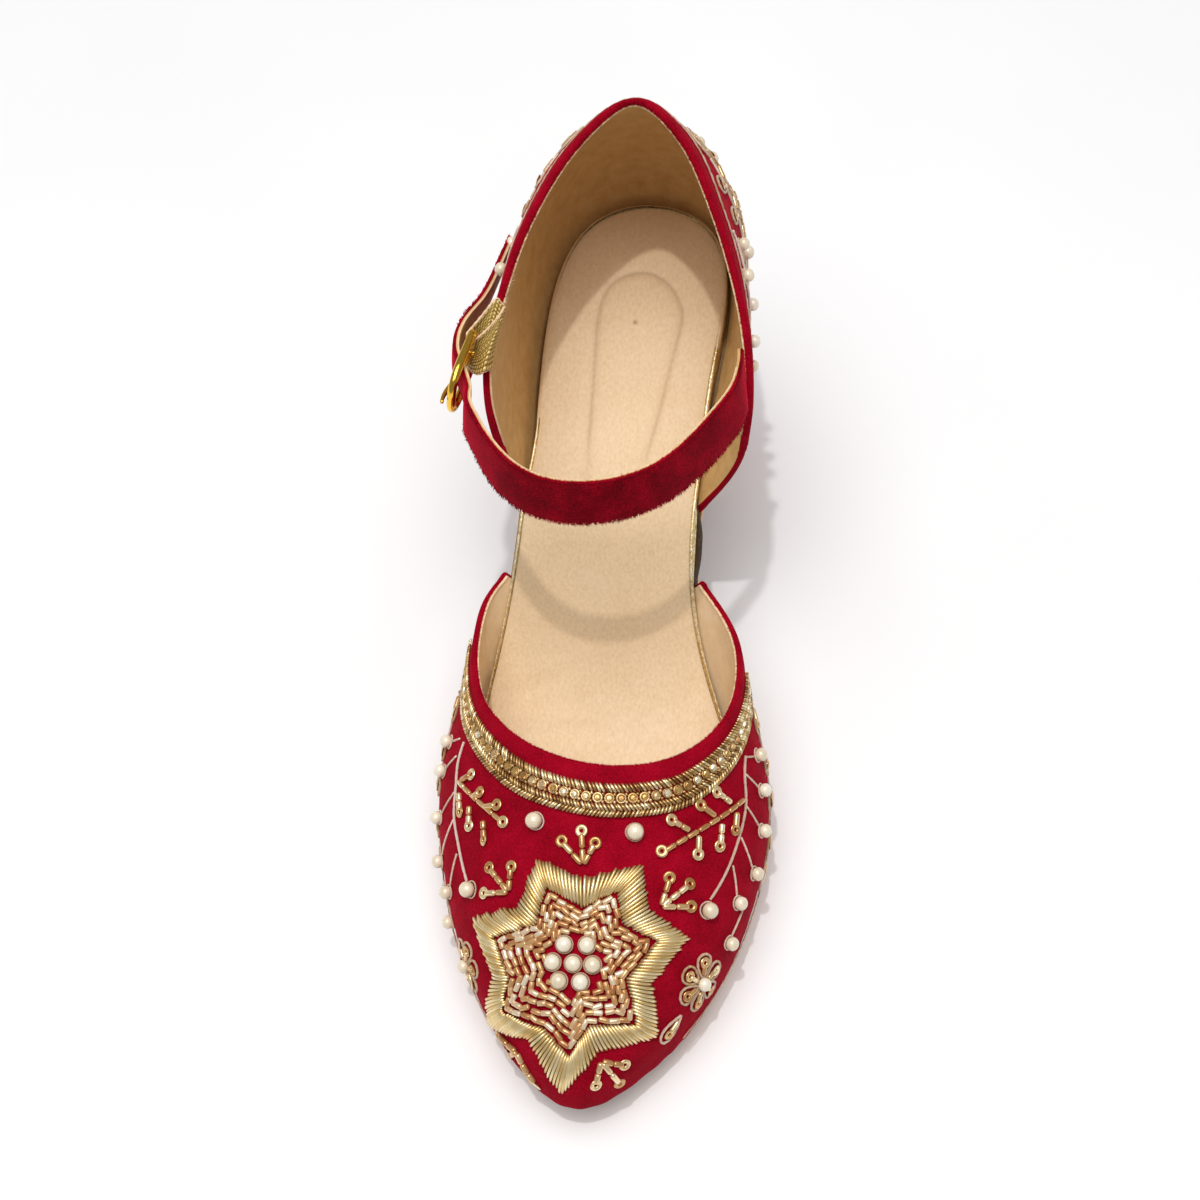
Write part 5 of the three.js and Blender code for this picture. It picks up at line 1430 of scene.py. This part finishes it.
# ------------------------------------------------------------------ counter embroidery
CHAIN_LOW = [(-99.9, .281), (-96.8, .269), (-92.2, .255), (-87.3, .245), (-80.1, .228), (-68.3, .208), (-57.5, .186), (-46.5, .183),
             (-36, .175), (-27.5, .164), (-18.8, .152), (-2.6, .140), (1.6, .140)]
CHAIN_TOP = [(-98.6, .284), (-97.2, .346), (-95.5, .434), (-94.9, .531), (-93.7, .592), (-91.7, .643), (-88.3, .719), (-80.5, .822), (-75.1, .843),
             (-68.9, .873), (-61.3, .89), (-53.7, .905), (-45.2, .914), (-34, .922), (-25.7, .924), (-16.6, .926), (1.6, .93)]
FLOWER_1 = [(-87.8, .36), (-95.2, .344), (-94.2, .494), (-85.8, .48), (-79.6, .369), (-80.6, .252)]
FLOWER_2 = [(-16.3, .535), (-24.2, .584), (-16.9, .658), (-22.7, .454), (-14.7, .403), (-7.4, .588), (-8.3, .482)]
TWIG = [(-67.6, .222), (-67.4, .275), (-67.4, .292), (-68.1, .414), (-67.6, .468), (-65.4, .55), (-63.5, .628), (-61, .687), (-57.9, .728), (-55.4, .79)]
TWIG_PEARLS = {
    -1: [((-76.7, .405), (-67.6, .276)), ((-59.2, .368), (-67.4, .285)), ((-80.8, .607), (-70.3, .434)), ((-66.3, .745), (-65.8, .64)),
         ((-54.4, .47), (-63.0, .50))],
    1: [((-82.0, .55), (-68.6, .31)), ((-60.3, .42), (-67.4, .285)), ((-79.3, .635), (-68.6, .45)), ((-67.8, .77), (-65.2, .64)),
        ((-53.3, .65), (-61.4, .60))],
}
VINE_2 = [(-46.1, .228), (-45.3, .293), (-43.6, .405), (-42.4, .429), (-39.3, .536), (-35.6, .66), (-34, .696), (-30.2, .755)]
VINE_2_LEAVES = [((-46.1, .228), (-52.3, .342)), ((-45.8, .237), (-38.3, .318)), ((-43.5, .411), (-49.2, .532)), ((-43.1, .413), (-33.8, .436)),
                 ((-39.5, .541), (-45.4, .674)), ((-39, .544), (-30.3, .558)), ((-35.8, .661), (-40.3, .794)), ((-35.2, .662), (-25.1, .674)),
                 ((-30, .762), (-23.1, .849))]
TWIG_2 = [(-43, .363), (-37.1, .364), (-31.5, .359), (-24.7, .338), (-14.3, .308)]
TWIG_2_SIDES = [((-29, .266), (-31.1, .354)), ((-27.5, .426), (-30.9, .366)), ((-24.4, .253), (-25.7, .339)), ((-22, .397), (-26.4, .352)),
                ((-19, .233), (-20.9, .324)), ((-17.2, .364), (-21.2, .335))]

for side, same in ((-1, lambda q: q), (1, lambda q: mirror(counter, q))):
    f1, f2 = same(FLOWER_1), same(FLOWER_2)
    flower(counter, f1[0], f1[1:], width=4.8)
    flower(counter, f2[0], f2[1:], width=4.2, pearl_r=1.6)
    leaf(counter, *same([(-88.2, .55), (-86.2, .69)]), 4.4)
    thread(counter, same([(-87.6, .47), (-89.4, .50), (-88.2, .55)]), .30)
    thread(counter, same(TWIG), .34)
    for at, root in same(TWIG_PEARLS[side]):
        thread(counter, [root, lerp(root, at, .5), lerp(root, at, .84)], .30)
        pearl(counter, at, 1.75)
    for at in same([(-49.0, .50), (-18.7, .45), (-10.7, .381)]):
        pearl(counter, at, 1.9)
    thread(counter, same(VINE_2), .36)
    for base, tip in same(VINE_2_LEAVES):
        leaf(counter, base, tip, 4.6)
    rows = same(TWIG_2)
    for a, b in zip(rows[:-1], rows[1:]):
        bugle(counter, a, b, .62, 3.0)
    sequin(counter, rows[-1])
    for tip, base in same(TWIG_2_SIDES):
        stem_bead(counter, base, tip)
    chain(counter, same(CHAIN_LOW))
    chain(counter, same([(d, t - (.042 * float(smooth(t, .6, .8) * smooth(-d, 8, 34)) if side > 0 else 0)) for d, t in CHAIN_TOP]))

# ------------------------------------------------------------------ pearls on the heel cover
for side in (-1, 1):
    for q, lv in ((.232, .701), (.365, .230), (.578, .839), (.86, .447)):
        e = 1e-3
        p = heel_point(side, np.array([q]), np.array([lv]))[0]
        n = np.cross(heel_point(side, np.array([q + e]), np.array([lv]))[0] - p, heel_point(side, np.array([q]), np.array([lv + e]))[0] - p)
        n = unit(n)
        c = np.array([centre_at(212.0), 205.0, p[2]])
        n = n if (n * (p - c)).sum() > 0 else -n
        put_ball(S_PEARL, p + n * 1.2, n, 1.75, .9, tone(.3, .7))
        a = np.arange(28) * 2 * np.pi / 28
        x = unit(np.cross(n, [.2, .7, .6]))
        y = np.cross(n, x)
        put_tube(S_THREAD, p + n * .4 + 1.95 * (np.cos(a)[:, None] * x + np.sin(a)[:, None] * y), .28, n, 6, closed=True, tone=.6)

zari_thread = S_THREAD.build("zari_thread", THREAD)
zari_chain = S_CHAIN.build("zari_chain", THREAD)
bugle_beads = S_BUGLE.build("bugle_beads", BUGLE)
sequins = S_SEQUIN.build("sequins", SEQUIN, sharp=60)
pearls = S_PEARL.build("pearls", PEARL)
star_bullion = S_BULLION.build("star_bullion", BULLION)
star_beads = S_STARBEAD.build("star_beads", STARBEAD)
throat_braid = S_BRAID.build("throat_braid", BRAID)
throat_stones = S_STONE.build("throat_stones", STONE, flat=True)

# ------------------------------------------------------------------ the frame
REPLACES = {"vamp": vamp_body, "heel_counter": counter_body, "insole": insole_pad, "outsole": outsole_body, "heel_block": heel_cover,
            "heel_toplift": toplift_body, "ankle_strap": strap_body, "buckle_frame": buckle_frame, "buckle_prong": buckle_tongue,
            "buckle_elastic": elastic_loop}
PIECES = list(REPLACES.values()) + [topline_piping, topline_pile, insole_piping, strap_pile, strap_edge, strap_stitches, elastic_edge, zari_thread,
                                    zari_chain, bugle_beads, sequins, pearls, star_bullion, star_beads, throat_braid, throat_stones]
for piece in PIECES:
    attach(piece, "root")
for node, piece in REPLACES.items():
    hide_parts(node)

# ------------------------------------------------------------------ floor, light, camera
def floor_material():
    m = Mat("floor_pale", rough=.7, Emission_Color=(1, 1, 1, 1), Emission_Strength=.07)
    m.colour(m.ramp(m.noise(6, 2), [(.35, (.86, .86, .86, 1)), (.65, (.89, .89, .89, 1))]))
    return m.mat


me = bpy.data.meshes.new("floor")
me.from_pydata([(-6, -6, -.0003), (6, -6, -.0003), (6, 6, -.0003), (-6, 6, -.0003)], [], [(0, 1, 2, 3)])
floor = bpy.data.objects.new("floor", me)
bpy.context.scene.collection.objects.link(floor)
me.materials.append(floor_material())

world = bpy.data.worlds.new("studio")
bpy.context.scene.world = world
world.use_nodes = True
world.node_tree.nodes["Background"].inputs["Color"].default_value = (1, 1, 1, 1)
world.node_tree.nodes["Background"].inputs["Strength"].default_value = .25


def area(name, at, size, power, target=(0, 0, .05)):
    light = bpy.data.lights.new(name, "AREA")
    light.shape, light.size, light.size_y, light.energy = "RECTANGLE", size[0], size[1], power
    ob = bpy.data.objects.new(name, light)
    bpy.context.scene.collection.objects.link(ob)
    z = unit(np.array(at, float) - np.array(target, float))
    x = unit(np.cross([0, 1.0, 0], z))
    y = np.cross(z, x)
    ob.matrix_world = Matrix([[x[0], y[0], z[0], at[0]], [x[1], y[1], z[1], at[1]], [x[2], y[2], z[2], at[2]], [0, 0, 0, 1]])
    return ob


area("key_small", (-.075, -.115, 1.66), (.04, .04), 6.6)
area("top_soft", (-.05, -.05, 1.65), (1.5, 1.5), 21.0)

camera = bpy.data.cameras.new("camera")
camera.sensor_width, camera.lens = 36.0, 54.9
camera.clip_start, camera.clip_end = .01, 50
cam = bpy.data.objects.new("camera", camera)
bpy.context.scene.collection.objects.link(cam)
RIGHT, DOWN, AHEAD = (.993922, .093767, -.057685), (.051241, -.857788, -.511442), (-.097439, .505378, -.857379)
CAMERA_AT = (.043766, -.241303, .460303)
cam.matrix_world = Matrix([[RIGHT[k], -DOWN[k], -AHEAD[k], CAMERA_AT[k]] for k in range(3)] + [[0, 0, 0, 1]])
bpy.context.scene.camera = cam
bpy.context.scene.view_settings.view_transform = "Standard"
